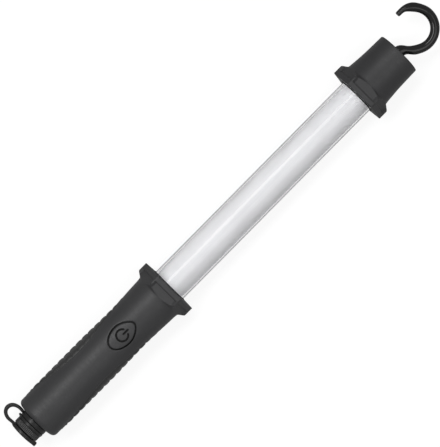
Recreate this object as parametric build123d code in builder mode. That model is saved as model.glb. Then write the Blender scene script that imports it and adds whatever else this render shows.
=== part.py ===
from build123d import *
import math
import os

# Cordless LED inspection lamp, lying on its back with its hook towards +X.
# A rubber-sleeved handle, a clear tube with an opal lining over an LED strip,
# and a rubber top cap with a swivelling hook. The origin is under the middle of
# the lamp's length, on the surface that its two hexagonal guards rest on.
# The power button faces +Z, and the hook's mouth and the cap's strap face +Y.

os.makedirs("parts", exist_ok=True)

# ---------------------------------------------------------------- lengths along the lamp
tail_reach = 15.7  # handle's tail face to the outer face of the socket cap
handle_length = 147.5  # handle's tail face to the rim of its guard
light_length = 208.0  # bare tube between the two guards
top_length = 47.0  # rim of the top guard to the end face of the top cap
hook_reach = 42.4  # end face of the top cap to the far side of the hook

# ---------------------------------------------------------------- hexagonal guards
guard_corner = 25.5  # radius to a corner of the hexagon
guard_rim = 8.1
flare_slope = 55.0  # degrees
flare_fillet = 3.0
facet_shelf = 4.3  # full-height strip between the rim and each facet's recess
recess_depth = 1.6
recess_width = 21.0
rim_edge = 0.7

# ---------------------------------------------------------------- handle grip
grip_radius = 19.1
waist_radius = 18.7
swell_radius = 19.65
neck_radius = 20.3
waist_from_rim = 46.0
swell_from_rim = 28.7
straight_from_tail = 66.0
shoulder = 3.8
sleeve_tail_wall = 1.5
sleeve_front_wall = 2.5

# ---------------------------------------------------------------- rib panels at the grip's sides
panel_length = 102.0
panel_from_tail = 62.0  # tail face to the middle of a panel
panel_half_width = 11.5
panel_floor = 17.9  # radius at the bottom of the panel's pocket
panel_skin = 19.0  # radius between the ribs
panel_waist_drop = 0.65  # how far the panel sinks with the grip into its waist
panel_fit = 0.1
rib_pitch = 6.7
rib_width = 5.0
rib_count = 14
rib_height = 0.75
rib_shift = 0.7  # ribs' middle ahead of the panel's middle

# ---------------------------------------------------------------- button and switch
button_from_rim = 52.2
button_half_length = 12.6
button_half_width = 7.8
button_point = 1.4  # rounding of the pointed end
button_cheek_along = 0.62  # where the pointed end's sides bulge, as shares of the button
button_cheek_across = 0.7
button_groove = 1.3
gasket_fit = 0.05
button_fit = 0.2
button_crown = 19.7  # radius of the button's top, about the lamp's axis
button_edge = 0.6
button_skirt = 3.4  # shell's bore down to the button's underside
button_lip = 1.0
button_lip_gap = 0.2
button_travel = 0.8
symbol_radius = 4.7
symbol_stroke = 1.25
symbol_depth = 0.6
symbol_gap = 64.0  # degrees of the ring left open
symbol_bar = 0.8  # middle of the bar, as a share of the ring
gasket_height = 0.8
switch_size = 8.0
switch_height = 3.5
switch_corner = 0.6
switch_floor = 0.3
plunger_radius = 1.6
plunger_fit = 0.06
plunger_grip = 2.4  # how far the plunger reaches into the switch at rest

# ---------------------------------------------------------------- inner shell of the handle
shell_over_tube = 2.0  # shell's outside beyond the tube's radius
shell_stop = 0.4  # step inside the tube's radius that the tube's holder rests on
shell_end_wall = 2.0
spigot_radius = 9.5
spigot_length = 11.4
socket_hole = 6.5
boss_offset = 12.4
boss_radius = 2.2
boss_from_tail = 22.0
boss_from_rim = 29.5
seat_fit = 0.1

# ---------------------------------------------------------------- screws of the shells and board
screw_core = 0.9
screw_shank = 1.1
screw_head = 1.9
head_height = 1.4
head_seat = -7.5  # height of the shell screws' heads
shell_screw_length = 14.0
shell_hole_depth = 7.5
board_screw_length = 6.5
board_hole_depth = 7.0

# ---------------------------------------------------------------- light tube
tube_radius = 15.0
tube_wall = 1.5
tube_insert = 14.0
diffuser_wall = 1.0
diffuser_fit = 0.3
holder_flange = 4.0
holder_spigot = 10.0
rail_insert = 6.0
rail_clearance = 3.2  # diffuser's bore beyond the rail's side
rail_plate = 2.0
rail_leg = 4.0
rail_leg_wall = 1.5
rail_top = -1.0  # height of the rail's top face, from the axis
strip_margin = 1.5
strip_thickness = 1.6
strip_gap = 1.0
led_count = 30
led_length = 2.8
led_width = 3.5
led_height = 0.7
led_margin = 6.0  # strip's end to the middle of its first LED
diffuser_gap = 0.4
wire_hole = 2.5
seal_width = 1.4
seal_proud = 0.7
seal_lip = 0.5

# ---------------------------------------------------------------- battery, board and leads
cradle_from_tail = 16.0
cell_radius = 9.15
cell_length = 65.0
cell_nub = 0.6
cell_nub_radius = 2.8
cell_edge = 0.5
cell_fit = 0.15
cradle_wall = 0.7
cradle_end = 1.5
cradle_rim = 3.0  # height of the cradle's open edge above the axis
saddle_width = 2.0
contact_plate = 0.6
contact_margin = 0.3
contact_top = 6.0
leaf_bow = 1.2
leaf_half = 4.5
leaf_width = 4.0
leaf_root = 0.9  # thickness of the leaf where it springs from its plate
leaf_thickness = 0.35
leaf_clearance = 0.05
board_overhang = 5.3  # board's rear end to the middle of the button
board_length = 36.0
board_width = 20.0
board_thickness = 1.6
post_offset = 7.4
post_radius = 2.2
rear_screw_inset = 6.0
front_screw_inset = 3.5
coil_from_end = 17.0
coil_radius = 3.5
coil_height = 4.0
coil_edge = 0.6
chip_from_end = 25.0
chip_side = -3.5
chip_length = 5.0
chip_width = 4.0
chip_height = 1.5
chip_edge = 0.25
lead_radius = 0.6
lead_bend = 1.1
lead_groove = 0.3  # room round a lead in the cradle's saddles
lead_offset = 8.0  # sideways and downwards from the axis to the long leads
joint_inset = 1.2  # board's rear end to the solder joints
cell_lead_side = 6.5
cell_lead_height = 4.6
cell_lead_back = 1.0
charge_lead_side = 2.5
charge_lead_turn = 0.4
led_lead_side = 1.3
led_lead_height = 4.0
led_lead_inset = 2.0
strip_joint_inset = 1.5

# ---------------------------------------------------------------- tail
ring_radius = 11.8
ring_start = 0.7
ring_width = 6.3
ring_groove = 0.35
ring_groove_place = 0.4  # share of the ring's width
ring_nub = 0.9
ring_nub_inset = 1.6
ring_nub_root = 1.0
ring_nub_length = 2.5
collar_radius = 11.4
collar_gap = 0.2
collar_width = 4.7
collar_edge = 0.4
collar_ribs = 48
collar_groove = 0.3
tail_fit = 0.05
jack_radius = 2.75
jack_depth = 10.0
jack_pin = 1.0
jack_length = 21.0
jack_flange = 8.0
jack_flange_width = 1.5
jack_pin_back = 1.0
jack_pin_edge = 0.4
cap_radius = 11.4
cap_thickness = 3.1
cap_edge = 0.8
cap_plug_fit = 0.05
cap_pin_fit = 0.3
cap_plug_length = 7.5
cap_tab_reach = 13.2
cap_tab_width = 9.0
strap_width = 5.0
strap_inset = 0.1  # strap's flank behind the cap's outer face
strap_leg = 2.4
strap_crown = 3.6
strap_reach = 25.0  # axis to the outside of the strap's loop

# ---------------------------------------------------------------- top cap and hook
top_shoulder_radius = 20.4
top_waist_radius = 19.2
top_waist_place = 0.58  # share of the top cap's length
top_end_radius = 18.75
top_edge = 1.2
top_front_wall = 2.5
top_end_wall = 2.5
core_bearing = 6.0
pin_radius = 3.4
pin_fit = 0.05
pin_gap = 0.1
pin_root = 1.5  # how far the pin runs into the hook's neck
pin_mouth = 0.5  # rubber's room round the pin
hook_gap = 0.3
hook_thickness = 7.0
hook_bar = 7.6
hook_eye = 12.8
hook_off_axis = 5.4
hook_edge = 1.8
hook_corner = 1.9
tip_reach = 24.4
tip_width = 4.5
tip_from_cap = 20.0
tip_length = 7.0
tip_step = 1.0
brow = (32.7, 22.6)  # bend from the eye to the tip, from the cap's end and from the axis
neck_left = 5.8
neck_right = -3.6
neck_flare = (3.6, -4.6)
throat = (9.6, -2.0)
throat_root = (5.6, 3.9)
neck_curve = (3.3, 5.2)
washer_radius = 7.0
washer_thickness = 1.2
hook_screw_radius = 1.5
hook_screw_length = 8.0
hook_screw_head = 2.8
hook_screw_head_height = 2.2
hook_screw_edge = 0.8

# ---------------------------------------------------------------- worked-out places
axis_height = guard_corner * math.cos(math.pi / 6)
overall = tail_reach + handle_length + light_length + top_length + hook_reach
x_cap_face = -overall / 2
x_tail = x_cap_face + tail_reach
x_rim = x_tail + handle_length
x_top = x_rim + light_length
x_end = x_top + top_length
x_far = x_end + hook_reach

shell_radius = tube_radius + shell_over_tube
shell_bore = tube_radius - shell_stop
seal_radius = tube_radius + seal_width
button_foot = shell_bore - button_skirt
button_lip_top = shell_bore - button_lip_gap
tube_bore = tube_radius - tube_wall
diffuser_radius = tube_bore - diffuser_fit
diffuser_bore = diffuser_radius - diffuser_wall
rail_width = 2 * (diffuser_bore - rail_clearance)
strip_width = rail_width - 2 * strip_margin
tube_seat = tube_radius + seat_fit
x_tube_low = x_rim - tube_insert
x_tube_high = x_top + tube_insert
x_holder_low = x_tube_low - holder_flange
x_holder_high = x_tube_high + holder_flange
x_shell_tail = x_tail + sleeve_tail_wall
x_shell_front = x_rim - sleeve_front_wall
x_button = x_rim - button_from_rim
x_spigot = x_tail - spigot_length
x_cradle = x_tail + cradle_from_tail
x_cell = x_cradle + cradle_end + contact_plate + leaf_bow
x_cell_end = x_cell + cell_length
x_cradle_end = x_cell_end + contact_plate + cradle_end
cradle_radius = cell_radius + cell_fit + cradle_wall
x_board = x_button - board_overhang
x_joint = x_board + joint_inset
strip_top = rail_top + strip_thickness
switch_top = board_thickness + switch_height

lamp_axis = Axis((0, 0, axis_height), (1, 0, 0))
# Lengthwise section of the lamp: x along it, y as the radius above its axis.
side_plane = Plane(origin=(0, 0, axis_height), x_dir=(1, 0, 0), z_dir=(0, -1, 0))


def across(x):
    """The plane square to the lamp at x: its own x is +Y and its own y is +Z."""
    return Plane(origin=(x, 0, axis_height), x_dir=(0, 1, 0), z_dir=(1, 0, 0))


def level(height):
    """The level plane at a height above or below the lamp's axis."""
    return Plane.XY.offset(axis_height + height)


def ring_face(x, outer, inner=0.0):
    """A disc or a ring about the lamp's axis, at x."""
    with BuildSketch(across(x)) as face:
        Circle(outer)
        if inner > 0:
            Circle(inner, mode=Mode.SUBTRACT)
    return face.sketch


def hexagon_face(x):
    """The guards' hexagon, with corners at +Y and -Y and flats at the top and bottom."""
    with BuildSketch(across(x)) as face:
        RegularPolygon(radius=guard_corner, side_count=6)
    return face.sketch


def flare_run(radius):
    """Length of a guard's flare, from its corner down to the given body radius."""
    slope = math.radians(flare_slope)
    straight = guard_corner - radius - flare_fillet * (1 - math.cos(slope))
    return flare_fillet * math.sin(slope) + straight / math.tan(slope)


def button_face(height, margin=0.0):
    """The button's outline, an ellipse drawn to a blunt point on the hook's side."""
    length = button_half_length + margin
    width = button_half_width + margin
    with BuildSketch(level(height)) as face:
        with BuildLine():
            EllipticalCenterArc((x_button, 0), length, width, 90, arc_size=180)
            for side in (1, -1):
                ThreePointArc(
                    (x_button, side * width),
                    (
                        x_button + button_cheek_along * length,
                        side * button_cheek_across * width,
                    ),
                    (x_button + length, 0),
                )
        make_face()
        fillet(face.vertices().sort_by(Axis.X)[-1], button_point + margin)
    return face.sketch


def panel_face(margin=0.0):
    """The lens outline of a rib panel, on the lamp's lengthwise plane."""
    x_middle = x_tail + panel_from_tail
    half = panel_length / 2
    with BuildSketch(side_plane) as face:
        with BuildLine():
            for side in (1, -1):
                ThreePointArc(
                    (x_middle - half, 0),
                    (x_middle, side * panel_half_width),
                    (x_middle + half, 0),
                )
        make_face()
        if margin > 0:
            offset(amount=margin)
    return face.sketch


def panel_radius(x):
    """A rib panel's radius between its ribs, which sinks with the grip into its waist."""
    x_straight = x_tail + straight_from_tail
    share = (x - x_straight) / (x_rim - waist_from_rim - x_straight)
    share = min(max(share, 0), 1)
    return panel_skin - panel_waist_drop * share**2 * (3 - 2 * share)


def rail_face(x, margin=0.0):
    """The carrier rail's channel section."""
    half = rail_width / 2
    foot = rail_top - rail_plate - rail_leg
    with BuildSketch(across(x)) as face:
        with BuildLine():
            Polyline(
                (-half, rail_top),
                (half, rail_top),
                (half, foot),
                (half - rail_leg_wall, foot),
                (half - rail_leg_wall, rail_top - rail_plate),
                (rail_leg_wall - half, rail_top - rail_plate),
                (rail_leg_wall - half, foot),
                (-half, foot),
                close=True,
            )
        make_face()
        if margin > 0:
            offset(amount=margin, kind=Kind.INTERSECTION)
    return face.sketch


# ================================================================ handle
# Pocket cutter for one rib panel, with room all round it.
with BuildPart() as panel_pocket:
    extrude(panel_face(panel_fit), amount=-2 * grip_radius)
    extrude(ring_face(x_tail, panel_floor), amount=handle_length, mode=Mode.SUBTRACT)

# Rubber sleeve with the lower guard, pulled over the handle's two shells.
x_neck = x_rim - guard_rim - flare_run(neck_radius)
recess_run = x_rim - facet_shelf - x_neck
with BuildPart() as grip_sleeve:
    with BuildSketch(side_plane):
        with BuildLine():
            Line((x_tail, spigot_radius + seat_fit), (x_tail, grip_radius - shoulder))
            TangentArc(
                (x_tail, grip_radius - shoulder),
                (x_tail + shoulder, grip_radius),
                tangent=(0, 1),
            )
            Spline(
                (x_tail + shoulder, grip_radius),
                (x_tail + straight_from_tail, grip_radius),
                (x_rim - waist_from_rim, waist_radius),
                (x_rim - swell_from_rim, swell_radius),
                (x_neck, neck_radius),
                tangents=[(1, 0), (1, 0)],
            )
            curl = JernArc(
                (x_neck, neck_radius), (1, 0), flare_fillet, flare_slope
            )
            Polyline(
                curl @ 1,
                (x_rim - guard_rim, guard_corner),
                (x_rim, guard_corner),
                (x_rim, seal_radius),
                (x_shell_front, seal_radius),
                (x_shell_front, shell_radius),
                (x_shell_tail, shell_radius),
                (x_shell_tail, spigot_radius + seat_fit),
                (x_tail, spigot_radius + seat_fit),
            )
        make_face()
    revolve(axis=lamp_axis)
    extrude(hexagon_face(x_tail), amount=handle_length, mode=Mode.INTERSECT)
    rim_edges = edges().filter_by(GeomType.LINE).group_by(Axis.X)[-1]
    fillet(rim_edges, rim_edge)
    with Locations(across(x_rim - facet_shelf - recess_run / 2)):
        with PolarLocations(axis_height, 6, start_angle=30):
            Box(2 * recess_depth, recess_width, recess_run, mode=Mode.SUBTRACT)
    add(panel_pocket.part, mode=Mode.SUBTRACT)
    add(panel_pocket.part.mirror(Plane.XZ), mode=Mode.SUBTRACT)
    extrude(button_face(0, button_groove), amount=guard_corner, mode=Mode.SUBTRACT)
grip_sleeve.part.label = "grip_sleeve"
export_step(grip_sleeve.part, "parts/grip_sleeve.step")

# Soft rib panel for the +Y side: a lens of rubber with rounded ribs across it.
x_first_rib = x_tail + panel_from_tail + rib_shift - (rib_count - 1) / 2 * rib_pitch
with BuildPart() as left_rib_panel:
    with BuildSketch(side_plane):
        with BuildLine():
            start = (x_tail + shoulder, panel_skin)
            for number in range(rib_count):
                middle = x_first_rib + number * rib_pitch
                near = middle - rib_width / 2
                far = middle + rib_width / 2
                Line(start, (near, panel_radius(near)))
                ThreePointArc(
                    (near, panel_radius(near)),
                    (middle, panel_radius(middle) + rib_height),
                    (far, panel_radius(far)),
                )
                start = (far, panel_radius(far))
            Polyline(
                start,
                (x_rim, panel_radius(x_rim)),
                (x_rim, panel_floor),
                (x_tail + shoulder, panel_floor),
                (x_tail + shoulder, panel_skin),
            )
        make_face()
    revolve(axis=lamp_axis)
    extrude(panel_face(), amount=-2 * grip_radius, mode=Mode.INTERSECT)
left_rib_panel.part.label = "left_rib_panel"
export_step(left_rib_panel.part, "parts/left_rib_panel.step")

# The same panel for the -Y side.
with BuildPart() as right_rib_panel:
    add(left_rib_panel.part.mirror(Plane.XZ))
right_rib_panel.part.label = "right_rib_panel"
export_step(right_rib_panel.part, "parts/right_rib_panel.step")

# Four bosses that the shell screws run through, trimmed to the shell's outside.
screw_places = [
    (x, side * boss_offset)
    for x in (x_tail + boss_from_tail, x_rim - boss_from_rim)
    for side in (1, -1)
]
with BuildPart() as screw_bosses:
    with BuildSketch(level(0)):
        with Locations(*screw_places):
            Circle(boss_radius)
    extrude(amount=shell_radius, both=True)
    extrude(
        ring_face(x_tail, shell_radius - seat_fit / 2),
        amount=handle_length,
        mode=Mode.INTERSECT,
    )

# Hard inner shell before it is parted: closed at the tail round the socket's spigot.
with BuildPart() as shell_blank:
    with BuildSketch(side_plane):
        with BuildLine():
            Polyline(
                (x_spigot, socket_hole),
                (x_spigot, spigot_radius),
                (x_shell_tail, spigot_radius),
                (x_shell_tail, shell_radius - seat_fit / 2),
                (x_shell_front, shell_radius - seat_fit / 2),
                (x_shell_front, tube_seat),
                (x_holder_low, tube_seat),
                (x_holder_low, shell_bore),
                (x_shell_tail + shell_end_wall, shell_bore),
                (x_shell_tail + shell_end_wall, socket_hole),
                close=True,
            )
        make_face()
    revolve(axis=lamp_axis)
    add(screw_bosses.part)

# Front shell, on the button's side, with the button's window and blind screw holes.
with BuildPart() as handle_shell_front:
    add(shell_blank.part)
    split(bisect_by=level(0), keep=Keep.TOP)
    extrude(button_face(0, button_fit), amount=guard_corner, mode=Mode.SUBTRACT)
    with BuildSketch(level(0)):
        with Locations(*screw_places):
            Circle(screw_core)
    extrude(amount=shell_hole_depth, mode=Mode.SUBTRACT)
handle_shell_front.part.label = "handle_shell_front"
export_step(handle_shell_front.part, "parts/handle_shell_front.step")

# Rear shell, with two posts for the board, and the screws' counterbores.
board_screw_places = [
    (x_board + rear_screw_inset, -post_offset),
    (x_board + board_length - front_screw_inset, post_offset),
]
with BuildPart() as board_posts:
    with BuildSketch(level(0)):
        with Locations(*board_screw_places):
            Circle(post_radius)
    extrude(amount=-shell_radius)
    extrude(
        ring_face(x_tail, shell_radius - seat_fit / 2),
        amount=handle_length,
        mode=Mode.INTERSECT,
    )

with BuildPart() as handle_shell_rear:
    add(shell_blank.part)
    split(bisect_by=level(0), keep=Keep.BOTTOM)
    add(board_posts.part)
    with BuildSketch(level(0)):
        with Locations(*board_screw_places):
            Circle(screw_core)
    extrude(amount=-board_hole_depth, mode=Mode.SUBTRACT)
    with BuildSketch(level(0)):
        with Locations(*screw_places):
            Circle(screw_shank)
    extrude(amount=-shell_radius, mode=Mode.SUBTRACT)
    with BuildSketch(level(head_seat)):
        with Locations(*screw_places):
            Circle(screw_head + seat_fit)
    extrude(amount=-shell_radius, mode=Mode.SUBTRACT)
handle_shell_rear.part.label = "handle_shell_rear"
export_step(handle_shell_rear.part, "parts/handle_shell_rear.step")

# Four screws that hold the shells together, under the sleeve.
with BuildPart() as handle_screws:
    with BuildSketch(level(head_seat)):
        with Locations(*screw_places):
            Circle(screw_core)
    extrude(amount=shell_screw_length)
    with BuildSketch(level(head_seat)):
        with Locations(*screw_places):
            Circle(screw_head)
    extrude(amount=-head_height)
handle_screws.part.label = "handle_screws"
export_step(handle_screws.part, "parts/handle_screws.step")

# ================================================================ button and switch
# Power symbol as a cutter of even depth under the button's curved top.
gap = math.radians(symbol_gap / 2)
reach = 2 * symbol_radius
with BuildPart() as symbol_cutter:
    with BuildSketch(level(button_foot)):
        with Locations((x_button, 0)):
            Circle(symbol_radius + symbol_stroke / 2)
            Circle(symbol_radius - symbol_stroke / 2, mode=Mode.SUBTRACT)
        with BuildLine():
            Polyline(
                (x_button, 0),
                (x_button + reach * math.cos(gap), reach * math.sin(gap)),
                (x_button + reach * math.cos(gap), -reach * math.sin(gap)),
                close=True,
            )
        make_face(mode=Mode.SUBTRACT)
        with Locations((x_button + symbol_bar * symbol_radius, 0)):
            SlotOverall(symbol_radius + symbol_stroke, symbol_stroke)
    extrude(amount=button_crown)
    extrude(
        ring_face(x_tail, button_crown - symbol_depth),
        amount=handle_length,
        mode=Mode.SUBTRACT,
    )

# Lip round the button's foot, inside the shell, that keeps the button in.
with BuildPart() as button_lip_blank:
    extrude(button_face(button_foot, button_lip), amount=button_crown)
    extrude(
        ring_face(x_tail, button_lip_top), amount=handle_length, mode=Mode.INTERSECT
    )

# Button: a pad that follows the grip's curve.
with BuildPart() as button_pad:
    extrude(button_face(button_foot), amount=button_crown)
    extrude(
        ring_face(x_tail, button_crown), amount=handle_length, mode=Mode.INTERSECT
    )
    top_face = faces().sort_by(Axis.Z)[-1]
    fillet(top_face.edges(), button_edge)
    add(symbol_cutter.part, mode=Mode.SUBTRACT)
    add(button_lip_blank.part)
button_pad.part.label = "button_pad"
export_step(button_pad.part, "parts/button_pad.step")

# Soft seal at the bottom of the groove round the button.
with BuildPart() as button_gasket:
    extrude(button_face(0, button_groove - gasket_fit), amount=guard_corner)
    extrude(button_face(0, button_fit), amount=guard_corner, mode=Mode.SUBTRACT)
    extrude(
        ring_face(x_tail, shell_radius + gasket_height, shell_radius),
        amount=handle_length,
        mode=Mode.INTERSECT,
    )
button_gasket.part.label = "button_gasket"
export_step(button_gasket.part, "parts/button_gasket.step")

# Switch body on the board, with a bore for its plunger.
with BuildPart() as switch_body:
    with BuildSketch(level(board_thickness)):
        with Locations((x_button, 0)):
            Rectangle(switch_size, switch_size)
    extrude(amount=switch_height)
    fillet(edges().filter_by(Axis.Z), switch_corner)
    with BuildSketch(level(board_thickness + switch_floor)):
        with Locations((x_button, 0)):
            Circle(plunger_radius + plunger_fit)
    extrude(amount=switch_height, mode=Mode.SUBTRACT)
switch_body.part.label = "switch_body"
export_step(switch_body.part, "parts/switch_body.step")

# Plunger between the switch and the button's underside.
with BuildPart() as switch_plunger:
    with BuildSketch(level(switch_top - plunger_grip)):
        with Locations((x_button, 0)):
            Circle(plunger_radius)
    extrude(amount=button_foot - switch_top + plunger_grip)
switch_plunger.part.label = "switch_plunger"
export_step(switch_plunger.part, "parts/switch_plunger.step")

# ================================================================ board
x_board_middle = x_board + board_length / 2
with BuildPart() as control_board:
    with BuildSketch(level(0)):
        with Locations((x_board_middle, 0)):
            Rectangle(board_length, board_width)
        with Locations(*board_screw_places):
            Circle(screw_shank, mode=Mode.SUBTRACT)
    extrude(amount=board_thickness)
control_board.part.label = "control_board"
export_step(control_board.part, "parts/control_board.step")

# Two screws that hold the board on its posts.
with BuildPart() as board_screws:
    with BuildSketch(level(board_thickness)):
        with Locations(*board_screw_places):
            Circle(screw_core)
    extrude(amount=-board_screw_length)
    with BuildSketch(level(board_thickness)):
        with Locations(*board_screw_places):
            Circle(screw_head)
    extrude(amount=head_height)
board_screws.part.label = "board_screws"
export_step(board_screws.part, "parts/board_screws.step")

# Driver coil and driver chip, soldered on the board ahead of the switch.
with BuildPart() as driver_coil:
    with BuildSketch(level(board_thickness)):
        with Locations((x_board + coil_from_end, 0)):
            Circle(coil_radius)
    extrude(amount=coil_height)
    fillet(edges().filter_by(GeomType.CIRCLE).sort_by(Axis.Z)[-1], coil_edge)
driver_coil.part.label = "driver_coil"
export_step(driver_coil.part, "parts/driver_coil.step")

with BuildPart() as driver_chip:
    with BuildSketch(level(board_thickness)):
        with Locations((x_board + chip_from_end, chip_side)):
            Rectangle(chip_length, chip_width)
    extrude(amount=chip_height)
    chamfer(faces().sort_by(Axis.Z)[-1].edges(), chip_edge)
driver_chip.part.label = "driver_chip"
export_step(driver_chip.part, "parts/driver_chip.step")

# ================================================================ battery
# Trough that holds the cell, on three saddles that fit the shell.
x_cradle_middle = (x_cradle + x_cradle_end) / 2
saddle_places = (x_cradle, x_cradle_middle - saddle_width / 2, x_cradle_end - saddle_width)
with BuildPart() as battery_cradle:
    extrude(ring_face(x_cradle, cradle_radius), amount=x_cradle_end - x_cradle)
    extrude(
        ring_face(x_cradle + cradle_end, cell_radius + cell_fit),
        amount=x_cradle_end - x_cradle - 2 * cradle_end,
        mode=Mode.SUBTRACT,
    )
    for x in saddle_places:
        with BuildSketch(across(x)):
            Circle(shell_bore - seat_fit)
            Circle(cradle_radius - cradle_wall / 2, mode=Mode.SUBTRACT)
            with Locations((0, shell_bore - boss_radius)):
                Rectangle(2 * shell_bore, 2 * shell_bore, mode=Mode.SUBTRACT)
            with Locations((lead_offset, -lead_offset), (-lead_offset, -lead_offset)):
                Circle(lead_radius + lead_groove, mode=Mode.SUBTRACT)
        extrude(amount=saddle_width)
    with BuildSketch(level(cradle_rim)):
        with Locations((x_cradle_middle, 0)):
            Rectangle(2 * cell_length, 2 * shell_bore)
    extrude(amount=shell_bore, mode=Mode.SUBTRACT)
battery_cradle.part.label = "battery_cradle"
export_step(battery_cradle.part, "parts/battery_cradle.step")

# One lithium cell, its positive end towards the light.
with BuildPart() as battery_cell:
    extrude(ring_face(x_cell, cell_radius), amount=cell_length - cell_nub)
    fillet(edges().filter_by(GeomType.CIRCLE), cell_edge)
    extrude(ring_face(x_cell_end - cell_nub, cell_nub_radius), amount=cell_nub)
battery_cell.part.label = "battery_cell"
export_step(battery_cell.part, "parts/battery_cell.step")


def contact_face(x):
    """A battery contact's plate, cut level above the cradle's rim for its solder joint."""
    with BuildSketch(across(x)) as face:
        Circle(cell_radius - contact_margin)
        with Locations((0, contact_top + cell_radius)):
            Rectangle(2 * cell_radius, 2 * cell_radius, mode=Mode.SUBTRACT)
    return face.sketch


with BuildPart() as positive_contact:
    extrude(contact_face(x_cell_end), amount=contact_plate)
positive_contact.part.label = "positive_contact"
export_step(positive_contact.part, "parts/positive_contact.step")

# Negative contact: a plate with a bowed leaf that presses on the cell's base.
x_plate = x_cradle + cradle_end
x_leaf = x_plate + contact_plate
x_leaf_top = x_leaf + leaf_bow - leaf_clearance
leaf_inner = leaf_half - leaf_root
with BuildPart() as negative_contact:
    extrude(contact_face(x_plate), amount=contact_plate)
    with BuildSketch(side_plane):
        with BuildLine():
            ThreePointArc((x_leaf, -leaf_half), (x_leaf_top, 0), (x_leaf, leaf_half))
            Line((x_leaf, leaf_half), (x_leaf, leaf_inner))
            ThreePointArc(
                (x_leaf, leaf_inner), (x_leaf_top - leaf_thickness, 0), (x_leaf, -leaf_inner)
            )
            Line((x_leaf, -leaf_inner), (x_leaf, -leaf_half))
        make_face()
    extrude(amount=leaf_width / 2, both=True)
negative_contact.part.label = "negative_contact"
export_step(negative_contact.part, "parts/negative_contact.step")

# ================================================================ leads
def lead(points):
    """One insulated wire along straight runs joined by arcs."""
    with BuildPart() as wire:
        with BuildLine():
            path = FilletPolyline(*points, radius=lead_bend)
        with BuildSketch(Plane(origin=path @ 0, z_dir=path % 0)):
            Circle(lead_radius)
        sweep()
    return wire.part


def at(x, y, height):
    """A point from its place along the lamp, across it and above its axis."""
    return (x, y, axis_height + height)


with BuildPart() as battery_lead_positive:
    add(
        lead(
            [
                at(x_cell_end + contact_plate, cell_lead_side, cell_lead_height),
                at(x_joint, cell_lead_side, cell_lead_height),
                at(x_joint, cell_lead_side, board_thickness),
            ]
        )
    )
battery_lead_positive.part.label = "battery_lead_positive"
export_step(battery_lead_positive.part, "parts/battery_lead_positive.step")

x_back = x_cradle - cell_lead_back
with BuildPart() as battery_lead_negative:
    add(
        lead(
            [
                at(x_plate, -cell_lead_side, cell_lead_height),
                at(x_back, -cell_lead_side, cell_lead_height),
                at(x_back, -lead_offset, lead_offset),
                at(x_joint, -lead_offset, lead_offset),
                at(x_joint, -lead_offset, board_thickness),
            ]
        )
    )
battery_lead_negative.part.label = "battery_lead_negative"
export_step(battery_lead_negative.part, "parts/battery_lead_negative.step")

x_jack_end = x_spigot + jack_length
x_turn = (x_jack_end + x_cradle) / 2 + charge_lead_turn
with BuildPart() as charge_leads:
    for side in (1, -1):
        add(
            lead(
                [
                    at(x_jack_end, side * charge_lead_side, -charge_lead_side),
                    at(x_turn, side * charge_lead_side, -charge_lead_side),
                    at(x_turn, side * lead_offset, -lead_offset),
                    at(x_joint, side * lead_offset, -lead_offset),
                    at(x_joint, side * lead_offset, 0),
                ]
            )
        )
charge_leads.part.label = "charge_leads"
export_step(charge_leads.part, "parts/charge_leads.step")

x_strip = x_tube_low + holder_spigot + strip_gap
x_led_joint = x_board + board_length - led_lead_inset
x_strip_joint = x_strip + strip_joint_inset
with BuildPart() as led_leads:
    for side in (1, -1):
        add(
            lead(
                [
                    at(x_led_joint, side * led_lead_side, board_thickness),
                    at(x_led_joint, side * led_lead_side, led_lead_height),
                    at(x_strip_joint, side * led_lead_side, led_lead_height),
                    at(x_strip_joint, side * led_lead_side, strip_top),
                ]
            )
        )
led_leads.part.label = "led_leads"
export_step(led_leads.part, "parts/led_leads.step")

# ================================================================ tail
# Charging socket: a barrel in the spigot, held by a flange inside the shell.
x_jack_flange = x_shell_tail + shell_end_wall
with BuildPart() as charging_socket:
    extrude(ring_face(x_spigot, socket_hole - tail_fit), amount=jack_length)
    extrude(ring_face(x_jack_flange, jack_flange), amount=jack_flange_width)
    extrude(ring_face(x_spigot, jack_radius), amount=jack_depth, mode=Mode.SUBTRACT)
charging_socket.part.label = "charging_socket"
export_step(charging_socket.part, "parts/charging_socket.step")

with BuildPart() as socket_pin:
    extrude(
        ring_face(x_spigot + jack_pin_back, jack_pin), amount=jack_depth - jack_pin_back
    )
    fillet(edges().sort_by(Axis.X)[0], jack_pin_edge)
socket_pin.part.label = "socket_pin"
export_step(socket_pin.part, "parts/socket_pin.step")

# Rubber ring that anchors the strap on the spigot.
x_ring = x_tail - ring_start - ring_width
x_groove = x_ring + ring_groove_place * ring_width
with BuildPart() as strap_ring:
    with BuildSketch(side_plane):
        with BuildLine():
            Polyline(
                (x_ring, spigot_radius + tail_fit),
                (x_ring, ring_radius - ring_groove),
                (x_ring + ring_groove, ring_radius),
                (x_groove - ring_groove, ring_radius),
                (x_groove, ring_radius - 2 * ring_groove),
                (x_groove + ring_groove, ring_radius),
                (x_ring + ring_width, ring_radius),
                (x_ring + ring_width, spigot_radius + tail_fit),
                close=True,
            )
        make_face()
    revolve(axis=lamp_axis)
    with BuildSketch(Plane.XZ.offset(ring_nub_root - ring_radius)):
        with Locations((x_ring + ring_nub_inset, axis_height)):
            Circle(ring_nub)
    extrude(amount=-ring_nub_length)
strap_ring.part.label = "strap_ring"
export_step(strap_ring.part, "parts/strap_ring.step")

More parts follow.
